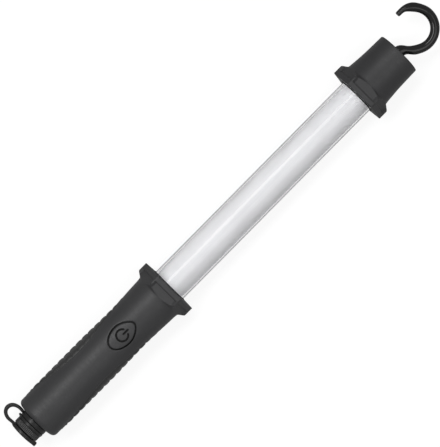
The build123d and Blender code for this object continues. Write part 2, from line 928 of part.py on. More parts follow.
# Knurled collar that closes the tail and keeps the strap's ring on.
x_collar = x_ring - collar_gap - collar_width
with BuildPart() as tail_collar:
    extrude(
        ring_face(x_collar, collar_radius, spigot_radius + tail_fit),
        amount=collar_width,
    )
    rims = edges().filter_by(GeomType.CIRCLE).filter_by(
        lambda edge: edge.radius > spigot_radius + 1
    )
    chamfer(rims, collar_edge)
    with Locations(across(x_collar + collar_width / 2)):
        with PolarLocations(collar_radius, collar_ribs):
            Cylinder(collar_groove, collar_width, mode=Mode.SUBTRACT)
tail_collar.part.label = "tail_collar"
export_step(tail_collar.part, "parts/tail_collar.step")

# Rubber cap: a domed plate with a pull tab and a hollow plug for the socket.
x_plate_in = x_cap_face + cap_thickness
with BuildPart() as socket_cap:
    with BuildSketch(across(x_cap_face)):
        Circle(cap_radius)
        with Locations((-cap_tab_reach / 2, 0)):
            Rectangle(cap_tab_reach, cap_tab_width)
    extrude(amount=cap_thickness)
    fillet(edges().group_by(Axis.X)[0], cap_edge)
    extrude(
        ring_face(x_plate_in, jack_radius - cap_plug_fit, jack_pin + cap_pin_fit),
        amount=x_spigot - x_plate_in + cap_plug_length,
    )
socket_cap.part.label = "socket_cap"
export_step(socket_cap.part, "parts/socket_cap.step")

# Strap from the cap's plate over to the ring, a flat loop on the +Y side.
x_loop_start = x_cap_face + strap_inset
x_loop_end = x_tail - ring_start
loop_radius = (x_loop_end - x_loop_start) / 2
x_loop = (x_loop_start + x_loop_end) / 2
hole_radius = loop_radius - strap_leg
with BuildPart() as cap_strap:
    with BuildSketch(level(-strap_width / 2)):
        with Locations((x_loop, strap_reach - loop_radius)):
            Circle(loop_radius)
        with Locations((x_loop, (strap_reach - loop_radius) / 2)):
            Rectangle(2 * loop_radius, strap_reach - loop_radius)
        with Locations((x_loop, strap_reach - strap_crown - hole_radius)):
            Circle(hole_radius, mode=Mode.SUBTRACT)
        with Locations((x_loop, (strap_reach - strap_crown - hole_radius) / 2)):
            Rectangle(
                2 * hole_radius,
                strap_reach - strap_crown - hole_radius,
                mode=Mode.SUBTRACT,
            )
    extrude(amount=strap_width)
    extrude(
        ring_face(x_cap_face, cap_radius), amount=loop_radius, mode=Mode.SUBTRACT
    )
    extrude(ring_face(x_loop, ring_radius), amount=loop_radius, mode=Mode.SUBTRACT)
cap_strap.part.label = "cap_strap"
export_step(cap_strap.part, "parts/cap_strap.step")

# ================================================================ light
with BuildPart() as clear_tube:
    extrude(
        ring_face(x_tube_low, tube_radius, tube_bore), amount=x_tube_high - x_tube_low
    )
clear_tube.part.label = "clear_tube"
export_step(clear_tube.part, "parts/clear_tube.step")

x_diffuser_low = x_tube_low + holder_spigot + diffuser_gap
x_diffuser_high = x_tube_high - holder_spigot - diffuser_gap
with BuildPart() as diffuser_tube:
    extrude(
        ring_face(x_diffuser_low, diffuser_radius, diffuser_bore),
        amount=x_diffuser_high - x_diffuser_low,
    )
diffuser_tube.part.label = "diffuser_tube"
export_step(diffuser_tube.part, "parts/diffuser_tube.step")

# Aluminium rail that carries the LED strip and takes away its heat.
x_rail_low = x_tube_low + holder_spigot - rail_insert
x_rail_high = x_tube_high - holder_spigot + rail_insert
with BuildPart() as carrier_rail:
    extrude(rail_face(x_rail_low), amount=x_rail_high - x_rail_low)
carrier_rail.part.label = "carrier_rail"
export_step(carrier_rail.part, "parts/carrier_rail.step")

x_strip_end = x_tube_high - holder_spigot - strip_gap
x_strip_middle = (x_strip + x_strip_end) / 2
with BuildPart() as led_board:
    with BuildSketch(level(rail_top)):
        with Locations((x_strip_middle, 0)):
            Rectangle(x_strip_end - x_strip, strip_width)
    extrude(amount=strip_thickness)
led_board.part.label = "led_board"
export_step(led_board.part, "parts/led_board.step")

led_pitch = (x_strip_end - x_strip - 2 * led_margin) / (led_count - 1)
with BuildPart() as leds:
    with BuildSketch(level(strip_top)):
        with Locations((x_strip_middle, 0)):
            with GridLocations(led_pitch, 1, led_count, 1):
                Rectangle(led_length, led_width)
    extrude(amount=led_height)
leds.part.label = "leds"
export_step(leds.part, "parts/leds.step")


def tube_holder(x_back, way):
    """A plug that takes one end of the tube, and the rail's end in a pocket."""
    x_face = x_back + way * holder_flange
    x_front = x_face + way * holder_spigot
    with BuildPart() as holder:
        with BuildSketch(side_plane):
            with BuildLine():
                Polyline(
                    (x_back, 0),
                    (x_back, tube_radius),
                    (x_face, tube_radius),
                    (x_face, tube_bore - seat_fit),
                    (x_front, tube_bore - seat_fit),
                    (x_front, 0),
                    close=True,
                )
            make_face()
        revolve(axis=lamp_axis)
        pocket = rail_insert + seat_fit
        extrude(
            rail_face(x_front, seat_fit), amount=-way * pocket, mode=Mode.SUBTRACT
        )
        with BuildSketch(across(x_back)):
            with Locations((0, led_lead_height)):
                Circle(wire_hole)
        extrude(amount=way * (holder_flange + holder_spigot), mode=Mode.SUBTRACT)
    return holder.part


with BuildPart() as lower_tube_holder:
    add(tube_holder(x_holder_low, 1))
lower_tube_holder.part.label = "lower_tube_holder"
export_step(lower_tube_holder.part, "parts/lower_tube_holder.step")

with BuildPart() as upper_tube_holder:
    add(tube_holder(x_holder_high, -1))
upper_tube_holder.part.label = "upper_tube_holder"
export_step(upper_tube_holder.part, "parts/upper_tube_holder.step")


def seal_ring(x_face, way):
    """A lip seal in the guard's mouth, standing a little proud of its face."""
    x_inside = x_face - way * top_front_wall
    x_proud = x_face + way * seal_proud
    with BuildPart() as seal:
        with BuildSketch(side_plane):
            with BuildLine():
                Polyline(
                    (x_inside, tube_radius),
                    (x_inside, seal_radius),
                    (x_face, seal_radius),
                    (x_proud, tube_radius + seal_lip),
                    (x_proud, tube_radius),
                    close=True,
                )
            make_face()
        revolve(axis=lamp_axis)
    return seal.part


with BuildPart() as lower_seal_ring:
    add(seal_ring(x_rim, 1))
lower_seal_ring.part.label = "lower_seal_ring"
export_step(lower_seal_ring.part, "parts/lower_seal_ring.step")

with BuildPart() as upper_seal_ring:
    add(seal_ring(x_top, -1))
upper_seal_ring.part.label = "upper_seal_ring"
export_step(upper_seal_ring.part, "parts/upper_seal_ring.step")

# ================================================================ top cap
x_core = x_top + top_front_wall
x_core_end = x_end - top_end_wall
core_radius = shell_radius - seat_fit / 2
x_shoulder = x_top + guard_rim + flare_run(top_shoulder_radius)
top_recess_run = x_shoulder - x_top - facet_shelf
with BuildPart() as top_bumper:
    with BuildSketch(side_plane):
        with BuildLine():
            curl = JernArc(
                (x_shoulder, top_shoulder_radius), (-1, 0), flare_fillet, -flare_slope
            )
            Polyline(
                curl @ 1,
                (x_top + guard_rim, guard_corner),
                (x_top, guard_corner),
                (x_top, seal_radius),
                (x_core, seal_radius),
                (x_core, shell_radius),
                (x_core_end, shell_radius),
                (x_core_end, pin_radius + pin_mouth),
                (x_end, pin_radius + pin_mouth),
                (x_end, top_end_radius - top_edge),
            )
            TangentArc(
                (x_end, top_end_radius - top_edge),
                (x_end - top_edge, top_end_radius),
                tangent=(0, 1),
            )
            Spline(
                (x_end - top_edge, top_end_radius),
                (x_top + top_waist_place * top_length, top_waist_radius),
                (x_shoulder, top_shoulder_radius),
                tangents=[(-1, 0), (-1, 0.05)],
            )
        make_face()
    revolve(axis=lamp_axis)
    extrude(hexagon_face(x_top), amount=top_length, mode=Mode.INTERSECT)
    rim_edges = edges().filter_by(GeomType.LINE).group_by(Axis.X)[0]
    fillet(rim_edges, rim_edge)
    with Locations(across(x_top + facet_shelf + top_recess_run / 2)):
        with PolarLocations(axis_height, 6, start_angle=30):
            Box(2 * recess_depth, recess_width, top_recess_run, mode=Mode.SUBTRACT)
top_bumper.part.label = "top_bumper"
export_step(top_bumper.part, "parts/top_bumper.step")

# Hard core inside the bumper: seat for the tube, and the hook's bearing.
x_bearing = x_core_end - core_bearing
with BuildPart() as top_cap_core:
    with BuildSketch(side_plane):
        with BuildLine():
            Polyline(
                (x_core, tube_seat),
                (x_core, core_radius),
                (x_core_end, core_radius),
                (x_core_end, pin_radius + pin_fit),
                (x_bearing, pin_radius + pin_fit),
                (x_bearing, shell_bore),
                (x_holder_high, shell_bore),
                (x_holder_high, tube_seat),
                close=True,
            )
        make_face()
    revolve(axis=lamp_axis)
top_cap_core.part.label = "top_cap_core"
export_step(top_cap_core.part, "parts/top_cap_core.step")

# ================================================================ hook
# Moulded hook: a round swivel pin, a short neck and a three-quarter eye.
x_eye = x_far - hook_eye - hook_bar
hook_outer = hook_eye + hook_bar
x_neck_base = x_end + hook_gap
x_pin_end = x_bearing - pin_gap
x_tip = x_end + tip_from_cap
x_tip_bend = x_tip + tip_length


def eye_point(radius, degrees):
    """A point on a circle about the middle of the hook's eye."""
    angle = math.radians(degrees)
    return (x_eye + radius * math.cos(angle), hook_off_axis + radius * math.sin(angle))


outer_from, outer_to = -139, 40
inner_from, inner_to = 33, -136
with BuildPart() as hook:
    with BuildSketch(level(-hook_thickness / 2)) as outline:
        with BuildLine():
            Polyline(
                (x_neck_base, neck_left),
                (x_neck_base, neck_right),
                (x_end + neck_flare[0], neck_flare[1]),
                eye_point(hook_outer, outer_from),
            )
            ThreePointArc(
                eye_point(hook_outer, outer_from),
                eye_point(hook_outer, (outer_from + outer_to) / 2),
                eye_point(hook_outer, outer_to),
            )
            ThreePointArc(
                eye_point(hook_outer, outer_to),
                (x_end + brow[0], brow[1]),
                (x_tip_bend, tip_reach),
            )
            Polyline(
                (x_tip_bend, tip_reach),
                (x_tip, tip_reach),
                (x_tip, tip_reach - tip_width),
                (x_tip_bend - tip_step, tip_reach - tip_width),
                eye_point(hook_eye, inner_from),
            )
            ThreePointArc(
                eye_point(hook_eye, inner_from),
                eye_point(hook_eye, (inner_from + inner_to) / 2),
                eye_point(hook_eye, inner_to),
            )
            Polyline(
                eye_point(hook_eye, inner_to),
                (x_end + throat[0], throat[1]),
                (x_end + throat_root[0], throat_root[1]),
            )
            ThreePointArc(
                (x_end + throat_root[0], throat_root[1]),
                (x_end + neck_curve[0], neck_curve[1]),
                (x_neck_base, neck_left),
            )
        make_face()
        bends = outline.vertices().group_by(Axis.X)[1:]
        fillet([corner for group in bends for corner in group], hook_corner)
    extrude(amount=hook_thickness)
    rims = edges().group_by(Axis.Z)[0] + edges().group_by(Axis.Z)[-1]
    fillet(rims, hook_edge)
    extrude(
        ring_face(x_pin_end, pin_radius), amount=x_neck_base + pin_root - x_pin_end
    )
    extrude(
        ring_face(x_pin_end, hook_screw_radius),
        amount=hook_screw_length,
        mode=Mode.SUBTRACT,
    )
hook.part.label = "hook"
export_step(hook.part, "parts/hook.step")

# Washer and screw that hold the hook's pin in the core, and turn with it.
with BuildPart() as hook_washer:
    extrude(
        ring_face(x_pin_end, washer_radius, hook_screw_radius + seat_fit),
        amount=-washer_thickness,
    )
hook_washer.part.label = "hook_washer"
export_step(hook_washer.part, "parts/hook_washer.step")

x_head = x_pin_end - washer_thickness
with BuildPart() as hook_screw:
    extrude(ring_face(x_head, hook_screw_head), amount=-hook_screw_head_height)
    fillet(edges().sort_by(Axis.X)[0], hook_screw_edge)
    extrude(
        ring_face(x_head, hook_screw_radius), amount=washer_thickness + hook_screw_length
    )
hook_screw.part.label = "hook_screw"
export_step(hook_screw.part, "parts/hook_screw.step")
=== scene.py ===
import math

import bmesh
import bpy
from mathutils import Matrix, Vector
from mathutils.kdtree import KDTree


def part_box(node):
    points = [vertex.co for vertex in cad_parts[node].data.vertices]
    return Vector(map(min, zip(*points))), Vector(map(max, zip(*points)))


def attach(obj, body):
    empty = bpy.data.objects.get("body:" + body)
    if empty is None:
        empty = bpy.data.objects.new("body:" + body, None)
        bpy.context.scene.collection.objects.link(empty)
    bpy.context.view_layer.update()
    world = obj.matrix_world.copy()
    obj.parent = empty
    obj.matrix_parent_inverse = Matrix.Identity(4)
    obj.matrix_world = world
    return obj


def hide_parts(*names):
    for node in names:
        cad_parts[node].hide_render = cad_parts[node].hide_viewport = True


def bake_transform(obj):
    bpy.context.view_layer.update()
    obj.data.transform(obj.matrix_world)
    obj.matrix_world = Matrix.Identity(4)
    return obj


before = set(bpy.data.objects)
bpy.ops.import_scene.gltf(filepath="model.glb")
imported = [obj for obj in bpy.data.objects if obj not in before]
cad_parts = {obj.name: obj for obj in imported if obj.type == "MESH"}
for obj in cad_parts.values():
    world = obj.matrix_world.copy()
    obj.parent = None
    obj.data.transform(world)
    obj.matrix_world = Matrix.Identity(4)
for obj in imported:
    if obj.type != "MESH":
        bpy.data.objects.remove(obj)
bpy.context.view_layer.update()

# -------------------------------------------------------- hard shells of the handle
# Two half shells of black glass-filled nylon, screwed together round the works. The
# rubber sleeve hides them, so they keep the mould's plain spark-eroded face.
# Each mesh is shaped in millimetres about the lamp's axis, then settled in the frame.
MM = 0.001
tube_low, tube_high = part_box("clear_tube")
AXIS = (tube_low.z + tube_high.z) / 2 / MM


def span(node):
    """Where a node starts and ends along the lamp, in millimetres."""
    low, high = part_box(node)
    return low.x / MM, high.x / MM


def new_finish(name):
    """An empty finish: the material, its nodes' tree and its shader."""
    material = bpy.data.materials.new(name)
    material.use_nodes = True
    tree = material.node_tree
    return material, tree, tree.nodes["Principled BSDF"]


def stretched(tree, along, across):
    """Object coordinates drawn out along the lamp, by a mark's size each way in mm."""
    place = tree.nodes.new("ShaderNodeTexCoord")
    stretch = tree.nodes.new("ShaderNodeMapping")
    stretch.inputs["Scale"].default_value = (
        1 / (along * MM),
        1 / (across * MM),
        1 / (across * MM),
    )
    tree.links.new(place.outputs["Object"], stretch.inputs["Vector"])
    return stretch.outputs["Vector"]


def noise(tree, vector, detail=3.0, roughness=0.5):
    """A noise whose marks have the size that the vector gives."""
    marks = tree.nodes.new("ShaderNodeTexNoise")
    marks.inputs["Scale"].default_value = 1.0
    marks.inputs["Detail"].default_value = detail
    marks.inputs["Roughness"].default_value = roughness
    tree.links.new(vector, marks.inputs["Vector"])
    return marks.outputs["Fac"]


def spread(tree, value, low, high, start=0.3, end=0.7):
    """The value, spread from start..end onto low..high."""
    ranged = tree.nodes.new("ShaderNodeMapRange")
    ranged.inputs["From Min"].default_value = start
    ranged.inputs["From Max"].default_value = end
    ranged.inputs["To Min"].default_value = low
    ranged.inputs["To Max"].default_value = high
    tree.links.new(value, ranged.inputs["Value"])
    return ranged.outputs["Result"]


def blended(tree, share, first, second):
    """A colour between two colours or sockets, by the share."""
    mix = tree.nodes.new("ShaderNodeMix")
    mix.data_type = "RGBA"
    tree.links.new(share, mix.inputs[0])
    for socket, colour in ((mix.inputs[6], first), (mix.inputs[7], second)):
        if isinstance(colour, tuple):
            socket.default_value = (*colour, 1)
        else:
            tree.links.new(colour, socket)
    return mix.outputs[2]


def grained(tree, shader, height, depth, strength=1.0):
    """Raises the surface by the height socket, up to a depth in mm."""
    bump = tree.nodes.new("ShaderNodeBump")
    bump.inputs["Strength"].default_value = strength
    bump.inputs["Distance"].default_value = depth * MM
    tree.links.new(height, bump.inputs["Height"])
    tree.links.new(bump.outputs["Normal"], shader.inputs["Normal"])


def tinted(tree, shader, marks, dark, pale):
    """Drifts the colour between two with the marks."""
    colour = blended(tree, spread(tree, marks, 0, 1), dark, pale)
    tree.links.new(colour, shader.inputs["Base Color"])


def dulled(tree, shader, marks, low, high):
    """Drifts the roughness between two with the marks."""
    tree.links.new(spread(tree, marks, low, high), shader.inputs["Roughness"])


def moulding(name, dark, pale, grain, depth, gloss, swing):
    """Plain moulded plastic: a drift of colour and gloss over a fine even grain."""
    material, tree, shader = new_finish(name)
    drift = noise(tree, stretched(tree, 14, 9))
    tinted(tree, shader, drift, dark, pale)
    dulled(tree, shader, drift, gloss - swing, gloss + swing)
    grained(tree, shader, noise(tree, stretched(tree, grain, grain), 2.0), depth)
    return material


def dress(material, *nodes):
    """Gives carried-over nodes their finish."""
    for node in nodes:
        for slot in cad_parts[node].material_slots:
            slot.material = material


shell_nylon = moulding(
    "black_nylon", (0.012, 0.012, 0.013), (0.02, 0.02, 0.021), 0.25, 0.02, 0.5, 0.06
)
dress(shell_nylon, "handle_shell_front", "handle_shell_rear")

# Four zinc-plated screws pull the shells together. The plating is bright with a faint
# yellow and blue bloom, and the driver has left its turning marks.
zinc_plate, tree, shader = new_finish("zinc_plate")
bloom = noise(tree, stretched(tree, 1.2, 1.2))
tinted(tree, shader, bloom, (0.62, 0.62, 0.60), (0.70, 0.69, 0.64))
dulled(tree, shader, bloom, 0.24, 0.4)
shader.inputs["Metallic"].default_value = 1.0
grained(tree, shader, noise(tree, stretched(tree, 0.1, 0.4), 2.0), 0.01)
dress(zinc_plate, "handle_screws", "board_screws", "hook_screw", "hook_washer")

# -------------------------------------------------------- battery
# A round lithium cell in a shrunk blue sleeve, in a white nylon cradle between two
# sprung contacts of nickel-plated steel.
cell_sleeve, tree, shader = new_finish("cell_sleeve")
wrinkles = noise(tree, stretched(tree, 9, 1.5), 4.0)
tinted(tree, shader, wrinkles, (0.02, 0.10, 0.24), (0.03, 0.14, 0.31))
dulled(tree, shader, wrinkles, 0.2, 0.34)
grained(tree, shader, wrinkles, 0.03)
dress(cell_sleeve, "battery_cell")

white_nylon = moulding(
    "white_nylon", (0.60, 0.59, 0.56), (0.72, 0.71, 0.68), 0.3, 0.015, 0.42, 0.05
)
dress(white_nylon, "battery_cradle", "switch_plunger")

nickel_strip, tree, shader = new_finish("nickel_strip")
rolled = noise(tree, stretched(tree, 0.15, 3.0))
tinted(tree, shader, rolled, (0.56, 0.53, 0.47), (0.68, 0.65, 0.59))
dulled(tree, shader, rolled, 0.22, 0.36)
shader.inputs["Metallic"].default_value = 1.0
grained(tree, shader, rolled, 0.008)
dress(nickel_strip, "positive_contact", "negative_contact")


# -------------------------------------------------------- board and leads
# A small green driver board under the button, with a coil, a chip and the push switch.
# Its leads are tinned copper in red and black insulation, soldered to the board.
board_green, tree, shader = new_finish("board_green")
weave = noise(tree, stretched(tree, 0.5, 0.5), 1.0)
tracks = tree.nodes.new("ShaderNodeTexBrick")
tracks.inputs["Scale"].default_value = 1.0
tracks.inputs["Mortar Size"].default_value = 0.05
tracks.inputs["Color1"].default_value = (0.010, 0.085, 0.030, 1)
tracks.inputs["Color2"].default_value = (0.014, 0.105, 0.040, 1)
tracks.inputs["Mortar"].default_value = (0.035, 0.190, 0.075, 1)
tree.links.new(stretched(tree, 2.4, 2.4), tracks.inputs["Vector"])
tree.links.new(tracks.outputs["Color"], shader.inputs["Base Color"])
dulled(tree, shader, weave, 0.25, 0.45)
grained(tree, shader, tracks.outputs["Fac"], 0.03, 0.5)
dress(board_green, "control_board")

ferrite = moulding(
    "ferrite", (0.018, 0.017, 0.016), (0.04, 0.037, 0.034), 0.35, 0.05, 0.6, 0.1
)
dress(ferrite, "driver_coil")
chip_resin = moulding(
    "chip_resin", (0.010, 0.010, 0.011), (0.02, 0.02, 0.022), 0.12, 0.02, 0.42, 0.06
)
dress(chip_resin, "driver_chip", "switch_body")
red_insulation = moulding(
    "red_insulation", (0.36, 0.012, 0.012), (0.48, 0.02, 0.02), 0.5, 0.01, 0.36, 0.06
)
dress(red_insulation, "battery_lead_positive", "charge_leads")
black_insulation = moulding(
    "black_insulation",
    (0.012, 0.012, 0.012),
    (0.022, 0.022, 0.022),
    0.5,
    0.01,
    0.36,
    0.06,
)
dress(black_insulation, "battery_lead_negative", "led_leads")

# -------------------------------------------------------- light strip
# White LEDs on a white-masked aluminium board, bonded to an extruded aluminium rail
# that stiffens it and takes its heat to the two plugs in the tube's ends.
rail_metal, tree, shader = new_finish("rail_metal")
die_lines = noise(tree, stretched(tree, 60, 0.25), 4.0)
tinted(tree, shader, die_lines, (0.55, 0.56, 0.57), (0.70, 0.71, 0.72))
dulled(tree, shader, die_lines, 0.3, 0.48)
shader.inputs["Metallic"].default_value = 1.0
grained(tree, shader, die_lines, 0.01)
dress(rail_metal, "carrier_rail")

strip_mask = moulding(
    "strip_mask", (0.70, 0.71, 0.71), (0.80, 0.80, 0.79), 0.3, 0.01, 0.35, 0.06
)
dress(strip_mask, "led_board")

led_face, tree, shader = new_finish("led_face")
phosphor = noise(tree, stretched(tree, 0.8, 0.8), 2.0)
tinted(tree, shader, phosphor, (0.80, 0.62, 0.14), (0.86, 0.74, 0.28))
dulled(tree, shader, phosphor, 0.18, 0.3)
grained(tree, shader, phosphor, 0.02)
dress(led_face, "leds")

holder_nylon = moulding(
    "holder_nylon", (0.012, 0.012, 0.013), (0.022, 0.022, 0.023), 0.3, 0.02, 0.46, 0.06
)
dress(holder_nylon, "lower_tube_holder", "upper_tube_holder", "top_cap_core")


# -------------------------------------------------------- opal diffuser
# A thin tube of milk-white acrylic, slid into the clear one. It hides the strip of LEDs
# and spreads their light. Unlit, it reads as soft white with faint draw lines.
def outline(bm, points, step):
    """Joins (x, radius) points with a line of edges, each no longer than the step."""
    corners = [bm.verts.new((x, radius, 0)) for x, radius in points]
    runs = [bm.edges.new(ends) for ends in zip(corners, corners[1:])]
    for run in runs:
        cuts = int(run.calc_length() / step)
        if cuts:
            bmesh.ops.bisect_edges(bm, edges=[run], cuts=cuts)


def round_corner(bm, x, radius, curve, segments=4):
    """Rounds the outline's corner nearest to a place."""
    corner = min(bm.verts, key=lambda v: (v.co - Vector((x, radius, 0))).length)
    ends = [edge.other_vert(corner) for edge in corner.link_edges]
    first, second = (end.co - corner.co for end in ends)
    bmesh.ops.bevel(
        bm,
        geom=[corner],
        offset=curve / math.tan(first.angle(second) / 2),
        affect="VERTICES",
        segments=segments,
        profile=0.5,
        material=-1,
    )


def turn(bm, steps):
    """Spins the outline round the lamp's axis into a closed skin."""
    bmesh.ops.remove_doubles(bm, verts=bm.verts, dist=0.001)
    bmesh.ops.spin(
        bm,
        geom=bm.verts[:] + bm.edges[:],
        cent=(0, 0, 0),
        axis=(1, 0, 0),
        angle=2 * math.pi,
        steps=steps,
        use_merge=True,
    )
    bmesh.ops.remove_doubles(bm, verts=bm.verts, dist=0.001)
    bmesh.ops.recalc_face_normals(bm, faces=bm.faces)


def crisp(mesh, degrees=32):
    """Smooth shading that stops at edges sharper than the angle."""
    bm = bmesh.new()
    bm.from_mesh(mesh)
    for face in bm.faces:
        face.smooth = True
    for edge in bm.edges:
        bend = edge.calc_face_angle(None)
        edge.smooth = bend is None or bend < math.radians(degrees)
    bm.to_mesh(mesh)
    bm.free()


def settle(bm, name):
    """Puts a shape from millimetres about the axis into the frame, as a new piece."""
    bmesh.ops.scale(bm, vec=(MM, MM, MM), verts=bm.verts)
    bmesh.ops.translate(bm, vec=(0, 0, AXIS * MM), verts=bm.verts)
    mesh = bpy.data.meshes.new(name)
    bm.to_mesh(mesh)
    bm.free()
    crisp(mesh)
    piece = bpy.data.objects.new(name, mesh)
    bpy.context.scene.collection.objects.link(piece)
    return piece


def place(piece, material, node, body="lamp"):
    """Gives a piece its finish and body, in place of its CAD node. A piece that bends
    between two bodies has none of its own."""
    piece.data.materials.clear()
    piece.data.materials.append(material)
    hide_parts(node)
    if body:
        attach(piece, body)


opal, tree, shader = new_finish("opal_acrylic")
milk = noise(tree, stretched(tree, 70, 6), 2.0)
draw_lines = noise(tree, stretched(tree, 90, 0.7), 3.0)
tinted(tree, shader, milk, (0.90, 0.905, 0.915), (0.93, 0.933, 0.94))
dulled(tree, shader, draw_lines, 0.48, 0.6)
shader.inputs["Subsurface Weight"].default_value = 0.5
shader.inputs["Subsurface Radius"].default_value = (1.0, 1.0, 1.0)
shader.inputs["Subsurface Scale"].default_value = 0.007
shader.inputs["Specular IOR Level"].default_value = 0.2
grained(tree, shader, draw_lines, 0.012)

inside, outside = 12.2, 13.2
x_low, x_high = span("diffuser_tube")
bm = bmesh.new()
outline(
    bm,
    [
        (x_low, inside),
        (x_low, outside),
        (x_high, outside),
        (x_high, inside),
        (x_low, inside),
    ],
    20,
)
turn(bm, 96)
diffuser = settle(bm, "opal_diffuser")
place(diffuser, opal, "diffuser_tube")

# -------------------------------------------------------- clear tube
# Extruded acrylic, 30 mm across with a 1.5 mm wall, its ends sawn and eased. It carries
# the load between the guards, so it has picked up light handling scratches.
acrylic, tree, shader = new_finish("clear_acrylic")
scratches = noise(tree, stretched(tree, 16, 0.35), 5.0, 0.6)
# The base colour darkens to near black where the tube is seen edge-on, by the viewing
# angle: painted shade standing in for the tube's dark edges.
grazing = tree.nodes.new("ShaderNodeLayerWeight")
grazing.inputs["Blend"].default_value = 0.5
painted_edge_shade = spread(tree, grazing.outputs["Facing"], 0, 1, 0.5, 0.72)
tree.links.new(
    blended(tree, painted_edge_shade, (0.98, 0.98, 0.985), (0.14, 0.14, 0.145)),
    shader.inputs["Base Color"],
)
shader.inputs["Transmission Weight"].default_value = 1.0
shader.inputs["IOR"].default_value = 1.49
shader.inputs["Specular Tint"].default_value = (0.3, 0.3, 0.3, 1)
hazed = spread(tree, scratches, 0.015, 0.08, 0.45, 0.75)
tree.links.new(hazed, shader.inputs["Roughness"])
grained(tree, shader, scratches, 0.004, 0.5)
lit_through = tree.nodes.new("ShaderNodeMixShader")
lamp_rays = tree.nodes.new("ShaderNodeLightPath")
pass_light = tree.nodes.new("ShaderNodeBsdfTransparent")
pass_light.inputs["Color"].default_value = (0.93, 0.93, 0.94, 1)
tree.links.new(lamp_rays.outputs["Is Shadow Ray"], lit_through.inputs["Fac"])
tree.links.new(shader.outputs["BSDF"], lit_through.inputs[1])
tree.links.new(pass_light.outputs["BSDF"], lit_through.inputs[2])
tree.links.new(
    lit_through.outputs["Shader"], tree.nodes["Material Output"].inputs["Surface"]
)

tube_bore, tube_reach, sawn_edge = 13.5, 15.0, 0.3
x_low, x_high = span("clear_tube")
bm = bmesh.new()
outline(
    bm,
    [
        (x_low, tube_bore),
        (x_low, tube_reach),
        (x_high, tube_reach),
        (x_high, tube_bore),
        (x_low, tube_bore),
    ],
    20,
)
bmesh.ops.remove_doubles(bm, verts=bm.verts, dist=0.001)
for x in (x_low, x_high):
    round_corner(bm, x, tube_reach, sawn_edge)
    round_corner(bm, x, tube_bore, sawn_edge)
turn(bm, 128)
outer_tube = settle(bm, "outer_tube")
place(outer_tube, acrylic, "clear_tube")


# -------------------------------------------------------- lip seals
# Soft black rubber rings in the guards' mouths. Their lips stand a little proud and
# press on the tube, to keep oil and water out.
def rubber(name, dark, pale, gloss, grain, depth, shine=0.5):
    """Moulded rubber: a fine blasted grain, a grey bloom in patches and dull scuffs."""
    material, tree, shader = new_finish(name)
    bloom = noise(tree, stretched(tree, 22, 12), 4.0, 0.6)
    scuffs = noise(tree, stretched(tree, 1.1, 7), 5.0, 0.65)
    base = blended(tree, spread(tree, bloom, 0, 1), dark, pale)
    worn = spread(tree, scuffs, 0, 0.35, 0.58, 0.8)
    scuffed = tuple(channel * 1.25 + 0.004 for channel in pale)
    tree.links.new(blended(tree, worn, base, scuffed), shader.inputs["Base Color"])
    dulled(tree, shader, scuffs, gloss - 0.05, gloss + 0.09)
    shader.inputs["Specular IOR Level"].default_value = shine
    pits = noise(tree, stretched(tree, grain, grain), 2.0)
    grained(tree, shader, pits, depth)
    return material


seal_rubber = rubber(
    "seal_rubber", (0.009, 0.009, 0.009), (0.013, 0.013, 0.013), 0.5, 0.3, 0.015, 0.15
)
seal_reach = 16.4
seal_width = 2.5
lip_slope, lip_height = 0.7, 0.5
for name, node, face, way in (
    ("tube_seal_low", "lower_seal_ring", 1, 1),
    ("tube_seal_high", "upper_seal_ring", 0, -1),
):
    x_lip = span(node)[face]
    x_back = span(node)[1 - face]
    bm = bmesh.new()
    outline(
        bm,
        [
            (x_back, tube_reach),
            (x_back, seal_reach),
            (x_lip - way * lip_slope, seal_reach),
            (x_lip, tube_reach + lip_height),
            (x_lip, tube_reach),
            (x_back, tube_reach),
        ],
        3,
    )
    bmesh.ops.remove_doubles(bm, verts=bm.verts, dist=0.001)
    round_corner(bm, x_lip - way * lip_slope, seal_reach, 0.3)
    round_corner(bm, x_lip, tube_reach + lip_height, 0.2)
    turn(bm, 96)
    place(settle(bm, name), seal_rubber, node)

# -------------------------------------------------------- grip sleeve
# The handle's sleeve is black rubber, moulded in one piece with its hexagonal guard and
# pulled over the shells. Each facet has a shallow recess behind a 4 mm rim, and the
# sides and the button's window have softly rolled edges.
x_tail, x_rim = span("grip_sleeve")
x_button = sum(span("button_pad")) / 2
GUARD_CORNER = 25.5
GUARD_FLAT = GUARD_CORNER * math.cos(math.pi / 6)
GUARD_RIM = 8.1
RECESS_START, RECESS_END = 4.3, 4.7
RECESS_DEPTH = 1.6
FINE_FROM, FINE_TO = 4.2, 4.9
FLARE = math.radians(55)
SHELL = 17.0
GRIP = 19.1
NECK = 20.3
BUTTON_LONG, BUTTON_WIDE, BUTTON_POINT = 12.6, 7.8, 0.27
PANEL_MIDDLE, PANEL_LONG, PANEL_TALL = x_tail + 62, 51, 11.5
POCKET_FLOOR = 17.9


def soft_least(first, second, blend):
    """The smaller of two lengths, with the meeting rounded off over a blend."""
    share = min(max(0.5 + 0.5 * (second - first) / blend, 0), 1)
    return second * (1 - share) + first * share - blend * share * (1 - share)


def eased(value, start, end):
    """0 before start and 1 after end, with a smooth rise between."""
    share = min(max((value - start) / (end - start), 0), 1)
    return share * share * (3 - 2 * share)


